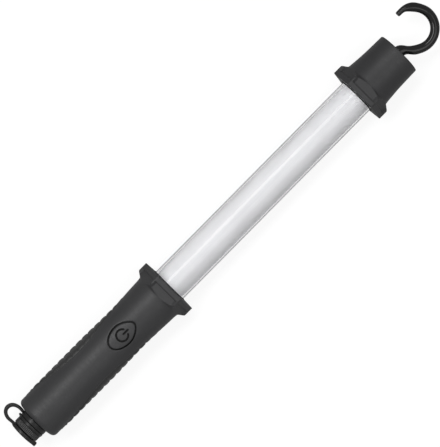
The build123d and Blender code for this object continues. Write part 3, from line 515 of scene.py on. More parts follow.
def shape_guard(bm, x_face, way, lip=0.75):
    """Trims a turned flare to the guard's hexagon, and sinks the facets' recesses.
    way is the direction from the rim's face towards the body, +1 or -1."""
    for vert in bm.verts:
        side = math.hypot(vert.co.y, vert.co.z)
        inward = (vert.co.x - x_face) * way
        if side < SHELL + 0.2 or inward > 24:
            continue
        turned = math.atan2(vert.co.z, vert.co.y)
        from_flat = (turned % (math.pi / 3)) - math.pi / 6
        edge = soft_least(GUARD_CORNER, GUARD_FLAT / math.cos(from_flat), 0.7)
        if inward < lip:
            share = (side - SHELL) / (GUARD_CORNER - SHELL)
            reach = SHELL + share * (edge - SHELL)
        else:
            reach = soft_least(side, edge, 0.7)
            lateral = abs(reach * math.sin(from_flat))
            sunk = eased(inward, RECESS_START, RECESS_END)
            sunk *= 1 - eased(lateral, 10.6, 12.0)
            floor = (GUARD_FLAT - RECESS_DEPTH * sunk) / math.cos(from_flat)
            if sunk > 0:
                reach = soft_least(reach, floor + 0.1, 0.4)
        vert.co.y *= reach / side
        vert.co.z *= reach / side


def button_edge(margin):
    """The button's outline as a flat disc: an ellipse drawn to a blunt point."""
    bm = bmesh.new()
    bmesh.ops.create_circle(bm, cap_ends=True, segments=160, radius=1)
    for vert in bm.verts:
        point = max(vert.co.x, 0) ** 2
        vert.co.x = x_button + vert.co.x * (BUTTON_LONG + margin)
        vert.co.y *= (BUTTON_WIDE + margin) * (1 - BUTTON_POINT * point)
    return bm


def panel_edge(margin):
    """A side panel's lens outline, as a flat strip in the lamp's upright plane."""
    bm = bmesh.new()
    bmesh.ops.create_grid(bm, x_segments=150, y_segments=2, size=1)
    for vert in bm.verts:
        lens = 1 - vert.co.x**2
        vert.co.z = vert.co.y * lens * (PANEL_TALL + margin)
        vert.co.x = PANEL_MIDDLE + vert.co.x * (PANEL_LONG + margin)
        vert.co.y = 0
    bmesh.ops.remove_doubles(bm, verts=bm.verts, dist=0.02)
    return bm


def deepen(bm, low, high):
    """Makes a flat outline into a cutter that runs from low to high."""
    bmesh.ops.translate(bm, vec=low, verts=bm.verts)
    grown = bmesh.ops.extrude_face_region(bm, geom=bm.faces[:])
    new = [part for part in grown["geom"] if isinstance(part, bmesh.types.BMVert)]
    bmesh.ops.translate(bm, vec=Vector(high) - Vector(low), verts=new)
    bmesh.ops.recalc_face_normals(bm, faces=bm.faces)


def cut_away(piece, tool):
    """Cuts the tool's shape out of a piece, and throws the tool away."""
    cut = piece.modifiers.new("cut", "BOOLEAN")
    cut.solver = "EXACT"
    cut.object = tool
    ready = piece.evaluated_get(bpy.context.evaluated_depsgraph_get())
    piece.data = bpy.data.meshes.new_from_object(ready)
    piece.modifiers.clear()
    bpy.data.objects.remove(tool)
    crisp(piece.data)


def rim_points(bm, flat_axis):
    """A search tree of the outline's boundary, seen along one axis."""
    edges = [edge for edge in bm.edges if edge.is_boundary]
    bmesh.ops.subdivide_edges(bm, edges=edges, cuts=1)
    verts = [vert for vert in bm.verts if vert.is_boundary]
    near = KDTree(len(verts))
    for number, vert in enumerate(verts):
        flat = vert.co.copy()
        flat[flat_axis] = 0
        near.insert(flat, number)
    near.balance()
    return near


def roll_edge(bm, near, flat_axis, facing, width, drop, bead=0):
    """Lets the skin sink over a width towards an opening's edge, past a raised bead."""
    for vert in bm.verts:
        side = math.hypot(vert.co.y, vert.co.z)
        if side < SHELL + 0.5 or not facing(vert.co):
            continue
        flat = vert.co.copy()
        flat[flat_axis] = 0
        gap = near.find(flat)[2]
        if gap < width + bead:
            fall = drop * (1 - math.sqrt(1 - max(1 - gap / width, 0) ** 2))
            fall -= 0.2 * bead * math.sin(math.pi * gap / (width + bead)) ** 2
            vert.co.y *= (side - fall) / side
            vert.co.z *= (side - fall) / side


tail_bore, tail_wall = 9.6, 1.5
x_neck = x_rim - GUARD_RIM - (GUARD_CORNER - NECK) / math.tan(FLARE)
bm = bmesh.new()
outline(bm, [(x_tail, tail_bore), (x_tail, GRIP), (x_button - 16, GRIP)], 1.2)
outline(bm, [(x_button - 16, GRIP), (x_rim - 60, GRIP)], 0.5)
outline(bm, [(x_rim - 60, GRIP), (x_rim - 46, 18.7), (x_rim - 38, 18.8)], 0.5)
outline(bm, [(x_rim - 38, 18.8), (x_rim - 28.7, 19.65), (x_neck, NECK)], 0.8)
outline(bm, [(x_neck, NECK), (x_rim - GUARD_RIM, GUARD_CORNER)], 0.4)
for start, end, step in (
    (GUARD_RIM, FINE_TO, 0.4),
    (FINE_TO, FINE_FROM, 0.1),
    (FINE_FROM, 0, 1.2),
):
    outline(bm, [(x_rim - start, GUARD_CORNER), (x_rim - end, GUARD_CORNER)], step)
outline(
    bm,
    [
        (x_rim, GUARD_CORNER),
        (x_rim, seal_reach),
        (x_rim - seal_width, seal_reach),
        (x_rim - seal_width, SHELL),
        (x_tail + tail_wall, SHELL),
        (x_tail + tail_wall, tail_bore),
        (x_tail, tail_bore),
    ],
    3,
)
bmesh.ops.remove_doubles(bm, verts=bm.verts, dist=0.001)
swell = [v for v in bm.verts if x_rim - 62 < v.co.x < x_rim - 13 and v.co.y > 18]
for _ in range(60):
    bmesh.ops.smooth_vert(bm, verts=swell, factor=0.5, use_axis_y=True)
turn_in = [v for v in bm.verts if abs(v.co.x - x_neck) < 4 and v.co.y > 18]
for _ in range(14):
    bmesh.ops.smooth_vert(bm, verts=turn_in, factor=0.5, use_axis_y=True)
round_corner(bm, x_tail, tail_bore, 0.5)
round_corner(bm, x_rim, GUARD_CORNER, 0.7)
shoulder = [v for v in bm.verts if v.co.x < x_tail + 4.5 and v.co.y > 15]
curve, curve_from = 3.8, 15.3
for vert in shoulder:
    down = max(x_tail + curve - vert.co.x, 0)
    over = max(vert.co.y - curve_from, 0)
    reach = math.hypot(down, over)
    if down > 0 and over > 0 and reach > curve:
        vert.co.x = x_tail + curve - down * curve / reach
        vert.co.y = curve_from + over * curve / reach
turn(bm, 240)
shape_guard(bm, x_rim, -1)

window = button_edge(1.3)
roll_edge(bm, rim_points(window, 2), 2, lambda co: co.z > 10, 0.9, 0.35)
deepen(window, (0, 0, 8), (0, 0, 26))
sides = []
for side in (1, -1):
    pocket = panel_edge(0.3)
    near = rim_points(pocket, 1)
    roll_edge(bm, near, 1, lambda co: co.y * side > 10, 0.9, 0.5, 1.3)
    deepen(pocket, (0, side * 8, 0), (0, side * 26, 0))
    sides.append(settle(pocket, "pocket_cutter"))

bm_core = bmesh.new()
outline(
    bm_core,
    [(x_tail - 1, 0), (x_tail - 1, POCKET_FLOOR), (x_rim, POCKET_FLOOR), (x_rim, 0)],
    5,
)
turn(bm_core, 240)
core = settle(bm_core, "pocket_floor")

sleeve = settle(bm, "rubber_grip_sleeve")
for cutter in sides:
    spare = bpy.data.objects.new("spare_core", core.data.copy())
    bpy.context.scene.collection.objects.link(spare)
    cut_away(cutter, spare)
    cut_away(sleeve, cutter)
bpy.data.objects.remove(core)
cut_away(sleeve, settle(window, "window_cutter"))

grip_rubber = rubber(
    "grip_rubber", (0.024, 0.024, 0.0255), (0.031, 0.031, 0.0325), 0.48, 0.35, 0.02
)
place(sleeve, grip_rubber, "grip_sleeve")

# -------------------------------------------------------- rib panels
# Softer rubber pads let into the grip's sides, for the palm and fingertips. Fourteen
# rounded ribs run across each one and fade out at its edge.
panel_rubber = rubber(
    "panel_rubber", (0.018, 0.018, 0.018), (0.024, 0.024, 0.024), 0.4, 0.3, 0.02
)
rib_pitch, rib_shift = 6.7, 0.7
rib_half, rib_height = 3.25, 0.75
for side, node in ((1, "left_rib_panel"), (-1, "right_rib_panel")):
    bm = bmesh.new()
    bmesh.ops.create_grid(bm, x_segments=320, y_segments=30, size=1)
    for vert in bm.verts:
        along, across = vert.co.x * PANEL_LONG, vert.co.y
        lens = 1 - vert.co.x**2
        height = across * lens * PANEL_TALL
        to_edge = (1 - abs(across)) * lens * PANEL_TALL
        from_rib = ((along - rib_shift) / rib_pitch + 7) % 1 * rib_pitch - rib_pitch / 2
        rib = math.sqrt(max(1 - (from_rib / rib_half) ** 2, 0)) * rib_height
        skin = 19.05 - 0.65 * eased(along, 4, 39.5) + rib * eased(to_edge, 0, 1.6)
        skin -= 0.8 * (1 - eased(to_edge, 0, 0.9))
        vert.co = (PANEL_MIDDLE + along, side * math.sqrt(skin**2 - height**2), height)
    bmesh.ops.remove_doubles(bm, verts=bm.verts, dist=0.02)
    backing = bmesh.ops.extrude_face_region(bm, geom=bm.faces[:])
    for part in backing["geom"]:
        if isinstance(part, bmesh.types.BMVert):
            part.co.y = side * math.sqrt(POCKET_FLOOR**2 - part.co.z**2)
    bmesh.ops.recalc_face_normals(bm, faces=bm.faces)
    place(settle(bm, node.replace("_rib_panel", "_palm_pad")), panel_rubber, node)

# -------------------------------------------------------- power button
# A soft pad of the same rubber with a moulded-in power sign. It stands in a groove in
# the sleeve and presses a plunger on the switch below. A gasket closes the groove.
button_rubber = rubber(
    "button_rubber", (0.027, 0.027, 0.0285), (0.034, 0.034, 0.0355), 0.48, 0.3, 0.015
)
sign_reach, sign_sunk, sign_gap = 4.7, 0.6, 32
round_part = 5.8
bm = bmesh.new()
outline(bm, [(0, 0), (3.6, 0)], 0.4)
outline(bm, [(3.6, 0), (round_part, 0)], 0.12)
outline(bm, [(round_part, 0), (11.4, 0)], 0.5)
outline(bm, [(11.4, 0), (BUTTON_LONG, 0)], 0.12)
bmesh.ops.remove_doubles(bm, verts=bm.verts, dist=0.001)
bmesh.ops.spin(
    bm,
    geom=bm.verts[:] + bm.edges[:],
    cent=(0, 0, 0),
    axis=(0, 0, 1),
    angle=2 * math.pi,
    steps=240,
    use_merge=True,
)
bmesh.ops.remove_doubles(bm, verts=bm.verts, dist=0.001)


def sign_depth(x, y):
    """How far the power sign is sunk at a place on the button."""
    reach = math.hypot(x, y)
    turned = abs(math.degrees(math.atan2(y, x)))
    ring = abs(reach - sign_reach)
    if turned < sign_gap:
        end = math.radians(sign_gap)
        x_tip, y_tip = sign_reach * math.cos(end), sign_reach * math.sin(end)
        ring = math.hypot(x - x_tip, abs(y) - y_tip)
    bar = math.hypot(max(abs(x - 3.76) - 2.35, 0), y)
    return sign_sunk * (1 - eased(min(ring, bar), 0.5, 0.85))


sunk = bm.verts.layers.float.new("sunk")
for vert in bm.verts:
    reach = math.hypot(vert.co.x, vert.co.y)
    turned = math.atan2(vert.co.y, vert.co.x)
    point = max(math.cos(turned), 0) ** 2
    rim_x = BUTTON_LONG * math.cos(turned)
    rim_y = BUTTON_WIDE * math.sin(turned) * (1 - BUTTON_POINT * point)
    share = min(max((reach - round_part) / (BUTTON_LONG - round_part), 0), 1)
    x = vert.co.x + share * (rim_x - BUTTON_LONG * math.cos(turned))
    y = vert.co.y + share * (rim_y - BUTTON_LONG * math.sin(turned))
    crown = 19.7 - sign_depth(x, y)
    # The sign's depth, 0 to 1, is kept as the sunk attribute so that the finish can
    # paint shade into the recess.
    vert[sunk] = sign_depth(x, y) / sign_sunk
    to_rim = (1 - share) * (math.hypot(rim_x, rim_y) - round_part)
    if to_rim < 0.8:
        crown -= 0.5 * (1 - math.sqrt(1 - (1 - to_rim / 0.8) ** 2))
    vert.co = (x_button + x, y, math.sqrt(crown**2 - y**2))
top_edge = [edge for edge in bm.edges if edge.is_boundary]
for height, growth in ((14.4, 1.0), (14.4, 1.07), (11.2, 1.0)):
    wall = bmesh.ops.extrude_edge_only(bm, edges=top_edge)
    new = [part for part in wall["geom"] if isinstance(part, bmesh.types.BMVert)]
    top_edge = [part for part in wall["geom"] if isinstance(part, bmesh.types.BMEdge)]
    for vert in new:
        vert.co.z = height
    bmesh.ops.scale(
        bm,
        vec=(growth, growth, 1),
        verts=new,
        space=Matrix.Translation((-x_button, 0, 0)),
    )
bmesh.ops.holes_fill(bm, edges=top_edge)
bmesh.ops.recalc_face_normals(bm, faces=bm.faces)
button = settle(bm, "power_button")
tree = button_rubber.node_tree
shader = tree.nodes["Principled BSDF"]
# The sunk attribute turns the power sign's recess near-black and rough: painted shade
# for the recess's shadow.
painted_recess_shade = tree.nodes.new("ShaderNodeAttribute")
painted_recess_shade.attribute_name = "sunk"
for socket, level in (("Base Color", 0.001), ("Roughness", 0.95)):
    skin = shader.inputs[socket].links[0].from_socket
    sunken = blended(tree, painted_recess_shade.outputs["Fac"], skin, (level, level, level))
    tree.links.new(sunken, shader.inputs[socket])
place(button, button_rubber, "button_pad", "button")

gasket_top, gasket_foot = 17.8, 17.02
bm = bmesh.new()
for flat in (button_edge(0.25), button_edge(1.25)):
    bmesh.ops.delete(flat, geom=flat.faces[:], context="FACES_ONLY")
    sheet = bpy.data.meshes.new("gasket_loop")
    flat.to_mesh(sheet)
    flat.free()
    bm.from_mesh(sheet)
    bpy.data.meshes.remove(sheet)
bmesh.ops.bridge_loops(bm, edges=bm.edges[:])
for vert in bm.verts:
    vert.co.z = math.sqrt(gasket_top**2 - vert.co.y**2)
lower = bmesh.ops.extrude_face_region(bm, geom=bm.faces[:])
for part in lower["geom"]:
    if isinstance(part, bmesh.types.BMVert):
        part.co.z = math.sqrt(gasket_foot**2 - part.co.y**2)
bmesh.ops.recalc_face_normals(bm, faces=bm.faces)
place(settle(bm, "groove_gasket"), seal_rubber, "button_gasket")

# -------------------------------------------------------- charging socket
# A barrel socket of black nylon with a turned brass pin, pressed into the spigot.
# The rubber cap keeps it clean.
socket_plastic = moulding(
    "socket_plastic", (0.01, 0.01, 0.011), (0.018, 0.018, 0.019), 0.3, 0.01, 0.34, 0.06
)
dress(socket_plastic, "charging_socket")

pin_brass, tree, shader = new_finish("pin_brass")
turning = noise(tree, stretched(tree, 0.12, 2.0), 3.0)
tinted(tree, shader, turning, (0.66, 0.46, 0.16), (0.78, 0.58, 0.25))
dulled(tree, shader, turning, 0.2, 0.34)
shader.inputs["Metallic"].default_value = 1.0
grained(tree, shader, turning, 0.01)
dress(pin_brass, "socket_pin")

# -------------------------------------------------------- tail collar
# A knurled plastic ring, screwed on behind the strap. Its straight knurl has worn
# smooth at the crests.
knurl_plastic = moulding(
    "knurl_plastic",
    (0.013, 0.013, 0.013),
    (0.024, 0.024, 0.024),
    0.3,
    0.015,
    0.38,
    0.08,
)
spigot_bore, collar_reach, knurls = 9.55, 11.4, 48
x_low, x_high = span("tail_collar")
bm = bmesh.new()
outline(
    bm,
    [
        (x_low, spigot_bore),
        (x_low, collar_reach),
        (x_high, collar_reach),
        (x_high, spigot_bore),
        (x_low, spigot_bore),
    ],
    0.6,
)
bmesh.ops.remove_doubles(bm, verts=bm.verts, dist=0.001)
round_corner(bm, x_low, collar_reach, 0.4)
round_corner(bm, x_high, collar_reach, 0.4)
turn(bm, knurls * 8)
for vert in bm.verts:
    side = math.hypot(vert.co.y, vert.co.z)
    if side > 11.0:
        turned = math.atan2(vert.co.z, vert.co.y)
        groove = 0.32 * abs(math.sin(knurls / 2 * turned)) ** 0.7 - 0.32
        inset = eased(min(vert.co.x - x_low, x_high - vert.co.x), 0.1, 0.7)
        vert.co.y *= 1 + groove * inset / side
        vert.co.z *= 1 + groove * inset / side
place(settle(bm, "knurled_collar"), knurl_plastic, "tail_collar")

# -------------------------------------------------------- strap's ring
# The strap's anchor: a rubber ring stretched over the spigot, with a moulded groove
# and the nub that it was pulled through the mould by.
strap_rubber = rubber(
    "strap_rubber", (0.012, 0.012, 0.012), (0.017, 0.017, 0.017), 0.32, 0.4, 0.012, 0.3
)
x_low, x_high = span("strap_ring")
ring_reach, groove_half = 11.8, 0.35
x_groove = x_low + 0.4 * 6.3
bm = bmesh.new()
outline(
    bm,
    [
        (x_low, spigot_bore),
        (x_low, ring_reach),
        (x_groove - groove_half, ring_reach),
        (x_groove, ring_reach - 0.7),
        (x_groove + groove_half, ring_reach),
        (x_high, ring_reach),
        (x_high, spigot_bore),
        (x_low, spigot_bore),
    ],
    1.5,
)
bmesh.ops.remove_doubles(bm, verts=bm.verts, dist=0.001)
for x in (x_low, x_groove - groove_half, x_groove + groove_half, x_high):
    round_corner(bm, x, ring_reach, 0.3)
turn(bm, 128)
nub = bmesh.ops.create_cone(
    bm,
    cap_ends=True,
    segments=20,
    radius1=1.1,
    radius2=0.8,
    depth=2.4,
    matrix=Matrix.Translation((x_low + 1.6, 11.9, 0))
    @ Matrix.Rotation(-math.pi / 2, 4, "X"),
)
ends = {face for vert in nub["verts"] for face in vert.link_faces}
end = max(ends, key=lambda face: face.calc_center_median().y)
bmesh.ops.bevel(
    bm,
    geom=end.edges[:],
    offset=0.35,
    affect="EDGES",
    segments=3,
    profile=0.5,
    material=-1,
)
place(settle(bm, "strap_anchor_ring"), strap_rubber, "strap_ring")


# -------------------------------------------------------- strap
# A flat tongue of the same rubber, moulded straight and sprung into a loop between the
# ring and the cap. It is thickest at the bow, and stretches as the cap is pulled.
def loft(bm, stations, corners, squareness):
    """Sweeps a rounded section along stations. Each is one side's (x, y), the other
    side's (x, y), and half the height."""
    bmesh.ops.create_circle(bm, cap_ends=True, segments=corners, radius=1)
    ring = bm.verts[:]
    section = [vert.co.copy() for vert in ring]
    for point in section:
        size = abs(point.x) ** squareness + abs(point.y) ** squareness
        point /= size ** (1 / squareness)
    edges = bm.edges[:]
    for number, (first, second, half) in enumerate(stations):
        if number:
            grown = bmesh.ops.extrude_edge_only(bm, edges=edges)
            edges = [p for p in grown["geom"] if isinstance(p, bmesh.types.BMEdge)]
            new = [p for p in grown["geom"] if isinstance(p, bmesh.types.BMVert)]
            order = {}
            for vert in new:
                for edge in vert.link_edges:
                    other = edge.other_vert(vert)
                    if other in ring:
                        order[ring.index(other)] = vert
            ring = [order[index] for index in range(corners)]
        middle = (Vector(first) + Vector(second)) / 2
        across = (Vector(first) - Vector(second)) / 2
        for vert, point in zip(ring, section):
            flat = middle + across * point.x
            vert.co = (flat.x, flat.y, point.y * half)
    bmesh.ops.holes_fill(bm, edges=edges)
    bmesh.ops.recalc_face_normals(bm, faces=bm.faces)


x_cap = span("socket_cap")[0]
strap_half = 2.5
loop = [
    ((x_cap + 0.3, 9.0), (x_cap + 2.9, 9.0)),
    ((x_cap + 0.5, 11.0), (x_cap + 2.9, 10.9)),
    ((x_cap + 0.5, 13.0), (x_cap + 2.9, 12.9)),
    ((x_cap + 0.2, 15.0), (x_cap + 2.7, 15.0)),
    ((x_cap + 0.1, 17.2), (x_cap + 2.8, 17.0)),
    ((x_cap + 0.7, 19.6), (x_cap + 3.4, 18.9)),
    ((x_cap + 2.0, 22.2), (x_cap + 4.5, 20.4)),
    ((x_cap + 4.3, 24.2), (x_cap + 5.8, 21.3)),
    ((x_cap + 7.4, 25.0), (x_cap + 7.4, 21.5)),
    ((x_cap + 10.6, 24.2), (x_cap + 9.1, 21.2)),
    ((x_cap + 12.9, 22.2), (x_cap + 10.5, 20.3)),
    ((x_cap + 14.2, 19.6), (x_cap + 11.6, 18.7)),
    ((x_cap + 14.8, 17.0), (x_cap + 12.2, 16.7)),
    ((x_cap + 14.8, 14.6), (x_cap + 12.3, 14.6)),
    ((x_cap + 14.6, 12.6), (x_cap + 12.1, 12.6)),
    ((x_cap + 14.5, 11.4), (x_cap + 12.0, 11.4)),
]
bm = bmesh.new()
loft(bm, [(first, second, strap_half) for first, second in loop], 24, 4.0)
strap = settle(bm, "tether_strap")
soften = strap.modifiers.new("soften", "SUBSURF")
soften.levels = soften.render_levels = 2
place(strap, strap_rubber, "cap_strap", None)
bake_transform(strap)

# -------------------------------------------------------- dust cap
# The socket's cap: a rubber plate with a rounded pull tab, and a hollow plug that
# grips inside the socket.
x_low, x_high = span("socket_cap")
tab_reach, tab_half = 13.2, 5.2
plug_reach, plug_bore = 2.7, 1.35
bm = bmesh.new()
bmesh.ops.create_circle(bm, cap_ends=True, segments=96, radius=collar_reach)
for vert in bm.verts:
    if vert.co.y < -8 and abs(vert.co.x) < tab_half:
        tab = 1 - eased(abs(vert.co.x), 3.4, tab_half)
        vert.co.y = vert.co.y * (1 - tab) - tab_reach * tab
bmesh.ops.rotate(
    bm, cent=(0, 0, 0), matrix=Matrix.Rotation(-math.pi / 2, 3, "Y"), verts=bm.verts
)
bmesh.ops.translate(bm, vec=(x_low, 0, 0), verts=bm.verts)
plate = bmesh.ops.extrude_face_region(bm, geom=bm.faces[:])
inner = [part for part in plate["geom"] if isinstance(part, bmesh.types.BMVert)]
bmesh.ops.translate(bm, vec=(3.1, 0, 0), verts=inner)
rims = [e for e in bm.edges if abs(e.verts[0].co.x - e.verts[1].co.x) < 0.01]
bmesh.ops.bevel(
    bm, geom=rims, offset=0.7, affect="EDGES", segments=4, profile=0.5, material=-1
)
bm_plug = bmesh.new()
outline(
    bm_plug,
    [
        (x_low + 2.9, 0),
        (x_low + 2.9, plug_reach),
        (x_high, plug_reach),
        (x_high, plug_bore),
        (x_low + 3.4, plug_bore),
        (x_low + 3.4, 0),
    ],
    2,
)
round_corner(bm_plug, x_high, plug_reach, 0.5)
turn(bm_plug, 48)
plug = bpy.data.meshes.new("plug")
bm_plug.to_mesh(plug)
bm_plug.free()
bm.from_mesh(plug)
bpy.data.meshes.remove(plug)
bmesh.ops.recalc_face_normals(bm, faces=bm.faces)
place(settle(bm, "dust_cap"), strap_rubber, "socket_cap", "socket_cap")

# -------------------------------------------------------- top cap
# Black rubber like the grip, moulded over a hard core. Its guard matches the handle's,
# so that the lamp lies level on either, and its end is bored for the hook's swivel.
x_top, x_end = span("top_bumper")
cap_neck, cap_end, swivel_bore = 20.4, 18.75, 3.9
bm = bmesh.new()
x_shoulder = x_top + GUARD_RIM + (GUARD_CORNER - cap_neck) / math.tan(FLARE)
for start, end, step in (
    (FINE_FROM, 0, 1.2),
    (FINE_TO, FINE_FROM, 0.1),
    (GUARD_RIM, FINE_TO, 0.4),
):
    outline(bm, [(x_top + start, GUARD_CORNER), (x_top + end, GUARD_CORNER)], step)
outline(bm, [(x_shoulder, cap_neck), (x_top + GUARD_RIM, GUARD_CORNER)], 0.4)
outline(bm, [(x_end, cap_end), (x_top + 27.3, 19.2), (x_shoulder, cap_neck)], 0.8)
outline(
    bm,
    [
        (x_top, GUARD_CORNER),
        (x_top, seal_reach),
        (x_top + seal_width, seal_reach),
        (x_top + seal_width, SHELL),
        (x_end - 2.5, SHELL),
        (x_end - 2.5, swivel_bore),
        (x_end, swivel_bore),
        (x_end, cap_end),
    ],
    3,
)
bmesh.ops.remove_doubles(bm, verts=bm.verts, dist=0.001)
turn_in = [v for v in bm.verts if abs(v.co.x - x_shoulder) < 4 and v.co.y > 18]
for _ in range(14):
    bmesh.ops.smooth_vert(bm, verts=turn_in, factor=0.5, use_axis_y=True)
waist = [v for v in bm.verts if x_top + 14 < v.co.x < x_end - 2 and v.co.y > 18]
for _ in range(60):
    bmesh.ops.smooth_vert(bm, verts=waist, factor=0.5, use_axis_y=True)
round_corner(bm, x_top, GUARD_CORNER, 0.7)
round_corner(bm, x_end, cap_end, 1.2, 6)
round_corner(bm, x_end, swivel_bore, 0.4)
turn(bm, 240)
shape_guard(bm, x_top, 1)
cap_rubber = rubber(
    "cap_rubber", (0.018, 0.018, 0.0195), (0.024, 0.024, 0.0255), 0.48, 0.35, 0.02
)
place(settle(bm, "rubber_top_cap"), cap_rubber, "top_bumper")

# -------------------------------------------------------- hook
# One stout moulding in polished black acetal: a swivel pin, a short cranked neck and a
# three-quarter eye that thins to a blunt tip. A washer and screw keep the pin in.
hook_acetal, tree, shader = new_finish("hook_acetal")
flow = noise(tree, stretched(tree, 12, 5), 3.0)
hairlines = noise(tree, stretched(tree, 3.0, 0.5), 5.0, 0.7)
tinted(tree, shader, flow, (0.006, 0.006, 0.006), (0.010, 0.010, 0.010))
shader.inputs["Specular IOR Level"].default_value = 0.32
dulled(tree, shader, hairlines, 0.08, 0.16)
grained(tree, shader, hairlines, 0.004, 0.5)

x_eye, y_eye = x_end + 22.0, 5.4
eye_inside, eye_outside = 12.8, 20.4
x_pin, pin = span("hook")[0], 3.4


def round_eye(outer, inner):
    """The hook's two sides at angles about the middle of its eye."""
    near, far = math.radians(outer), math.radians(inner)
    return (
        (x_eye + eye_outside * math.cos(near), y_eye + eye_outside * math.sin(near)),
        (x_eye + eye_inside * math.cos(far), y_eye + eye_inside * math.sin(far)),
    )


bends = [
    ((x_pin, -pin), (x_pin, pin), pin),
    ((x_pin + 0.5, -pin), (x_pin + 0.5, pin), pin),
    ((x_end - 0.2, -pin), (x_end - 0.2, pin), pin),
    ((x_end + 0.25, -pin), (x_end + 0.25, 3.5), pin),
    ((x_end + 0.35, -3.7), (x_end + 0.35, 5.8), 3.5),
    ((x_end + 1.2, -3.9), (x_end + 1.0, 5.8), 3.5),
    ((x_end + 3.6, -4.7), (x_end + 3.4, 5.3), 3.5),
    ((x_end + 4.9, -6.2), (x_end + 6.2, 3.1), 3.5),
    ((x_end + 6.1, -7.7), (x_end + 8.3, -0.2), 3.5),
    ((x_end + 8.0, -9.9), (x_end + 10.6, -2.6), 3.5),
]
bends += [(*round_eye(angle, angle), 3.5) for angle in range(-124, 30, 14)]
bends += [
    (*round_eye(39, 32), 3.5),
    ((x_end + 35.0, 21.3), (x_end + 30.6, 14.9), 3.4),
    ((x_end + 31.6, 23.3), (x_end + 28.2, 17.6), 3.2),
    ((x_end + 27.6, 24.3), (x_end + 26.0, 19.7), 3.0),
    ((x_end + 24.0, 24.4), (x_end + 23.6, 19.9), 2.9),
    ((x_end + 20.5, 24.3), (x_end + 20.5, 20.0), 2.8),
    ((x_end + 20.0, 23.9), (x_end + 20.0, 20.4), 2.4),
]
bm = bmesh.new()
loft(bm, bends, 24, 2.1)
hook = settle(bm, "swivel_hook")
polish = hook.modifiers.new("polish", "SUBSURF")
polish.levels = polish.render_levels = 2
place(hook, hook_acetal, "hook", "hook")

# -------------------------------------------------------- studio
# The lamp lies on a white table under one long soft lamp, a wide weak one and a pale
# room. The table and room show as plain white, and the table keeps the lamp's shadow.
floor_mesh = bpy.data.meshes.new("table_top")
bm = bmesh.new()
bmesh.ops.create_grid(bm, x_segments=1, y_segments=1, size=4)
bm.to_mesh(floor_mesh)
bm.free()
table_top = bpy.data.objects.new("table_top", floor_mesh)
bpy.context.scene.collection.objects.link(table_top)

table_white = bpy.data.materials.new("table_white")
table_white.use_nodes = True
tree = table_white.node_tree
tree.nodes.clear()
out = tree.nodes.new("ShaderNodeOutputMaterial")
matt = tree.nodes.new("ShaderNodeBsdfDiffuse")
matt.inputs["Color"].default_value = (0.25, 0.25, 0.25, 1)
glow = tree.nodes.new("ShaderNodeEmission")
glow.inputs["Color"].default_value = (1, 1, 1, 1)
seen = tree.nodes.new("ShaderNodeLightPath")
both = tree.nodes.new("ShaderNodeAddShader")
gloss_share = 0.3
table_seen, room_seen, room_light = 0.84, 0.64, 0.36


def seen_directly(tree, path, strength):
    """The strength for rays from the eye or glass, part of it for gloss, else 0."""
    first = tree.nodes.new("ShaderNodeMath")
    first.operation = "MULTIPLY_ADD"
    first.inputs[1].default_value = gloss_share
    tree.links.new(path.outputs["Is Glossy Ray"], first.inputs[0])
    tree.links.new(path.outputs["Is Camera Ray"], first.inputs[2])
    second = tree.nodes.new("ShaderNodeMath")
    second.operation = "MAXIMUM"
    tree.links.new(first.outputs[0], second.inputs[0])
    tree.links.new(path.outputs["Is Transmission Ray"], second.inputs[1])
    third = tree.nodes.new("ShaderNodeMath")
    third.operation = "SUBTRACT"
    third.use_clamp = True
    tree.links.new(second.outputs[0], third.inputs[0])
    tree.links.new(path.outputs["Diffuse Depth"], third.inputs[1])
    amount = tree.nodes.new("ShaderNodeMath")
    amount.operation = "MULTIPLY"
    amount.inputs[1].default_value = strength
    tree.links.new(third.outputs[0], amount.inputs[0])
    return amount.outputs[0]


tree.links.new(seen_directly(tree, seen, table_seen), glow.inputs["Strength"])
tree.links.new(matt.outputs[0], both.inputs[0])
tree.links.new(glow.outputs[0], both.inputs[1])
tree.links.new(both.outputs[0], out.inputs["Surface"])
floor_mesh.materials.append(table_white)

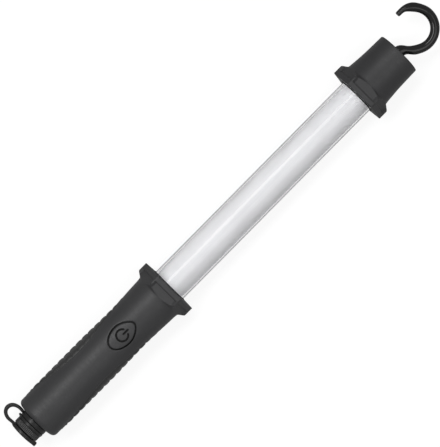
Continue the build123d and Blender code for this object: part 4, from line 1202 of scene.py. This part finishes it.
world = bpy.data.worlds.new("pale_room")
bpy.context.scene.world = world
world.use_nodes = True
tree = world.node_tree
room = tree.nodes["Background"]
room.inputs["Color"].default_value = (1, 1, 1, 1)
path = tree.nodes.new("ShaderNodeLightPath")
ambient = tree.nodes.new("ShaderNodeMath")
ambient.operation = "ADD"
ambient.inputs[1].default_value = room_light
tree.links.new(seen_directly(tree, path, room_seen), ambient.inputs[0])
tree.links.new(ambient.outputs[0], room.inputs["Strength"])


def soft_lamp(name, towards, distance, width, depth, power):
    """A rectangular soft lamp that looks back at the middle of the object."""
    data = bpy.data.lights.new(name, "AREA")
    data.shape = "RECTANGLE"
    data.size, data.size_y, data.energy = width, depth, power
    lamp = bpy.data.objects.new(name, data)
    ray = Vector(towards).normalized()
    lamp.location = ray * distance
    side = (Vector((1, 0, 0)) - ray * ray.x).normalized()
    lamp.matrix_world = Matrix(
        (
            (side.x, ray.cross(side).x, ray.x, lamp.location.x),
            (side.y, ray.cross(side).y, ray.y, lamp.location.y),
            (side.z, ray.cross(side).z, ray.z, lamp.location.z),
            (0, 0, 0, 1),
        )
    )
    bpy.context.scene.collection.objects.link(lamp)


soft_lamp("long_lamp", (-0.12, 0.5, 1.0), 1.5, 1.3, 0.4, 9.5)
soft_lamp("wide_lamp", (0.15, -0.35, 1.0), 1.7, 1.1, 0.9, 4.9)

# -------------------------------------------------------- camera
# The camera looks down at the lamp from about two metres, leaning a little to its left
# side, with the lamp running from the lower left to the upper right.
distance = 2.1
lean = math.radians(3.5)
back = Vector((0, math.sin(lean), math.cos(lean)))
right = Vector((0.70265, -0.71154, 0))
right = (right - back * right.dot(back)).normalized()
up = back.cross(right)
aim = Vector((-0.0048, 0.0059, AXIS * MM))
camera_data = bpy.data.cameras.new("camera")
camera_data.sensor_width = 36
camera_data.lens = 216.8
camera_data.clip_end = 20
camera = bpy.data.objects.new("camera", camera_data)
spot = aim + back * distance
camera.matrix_world = Matrix(
    (
        (right.x, up.x, back.x, spot.x),
        (right.y, up.y, back.y, spot.y),
        (right.z, up.z, back.z, spot.z),
        (0, 0, 0, 1),
    )
)
bpy.context.scene.collection.objects.link(camera)
bpy.context.scene.camera = camera
bpy.context.scene.view_settings.view_transform = "Standard"
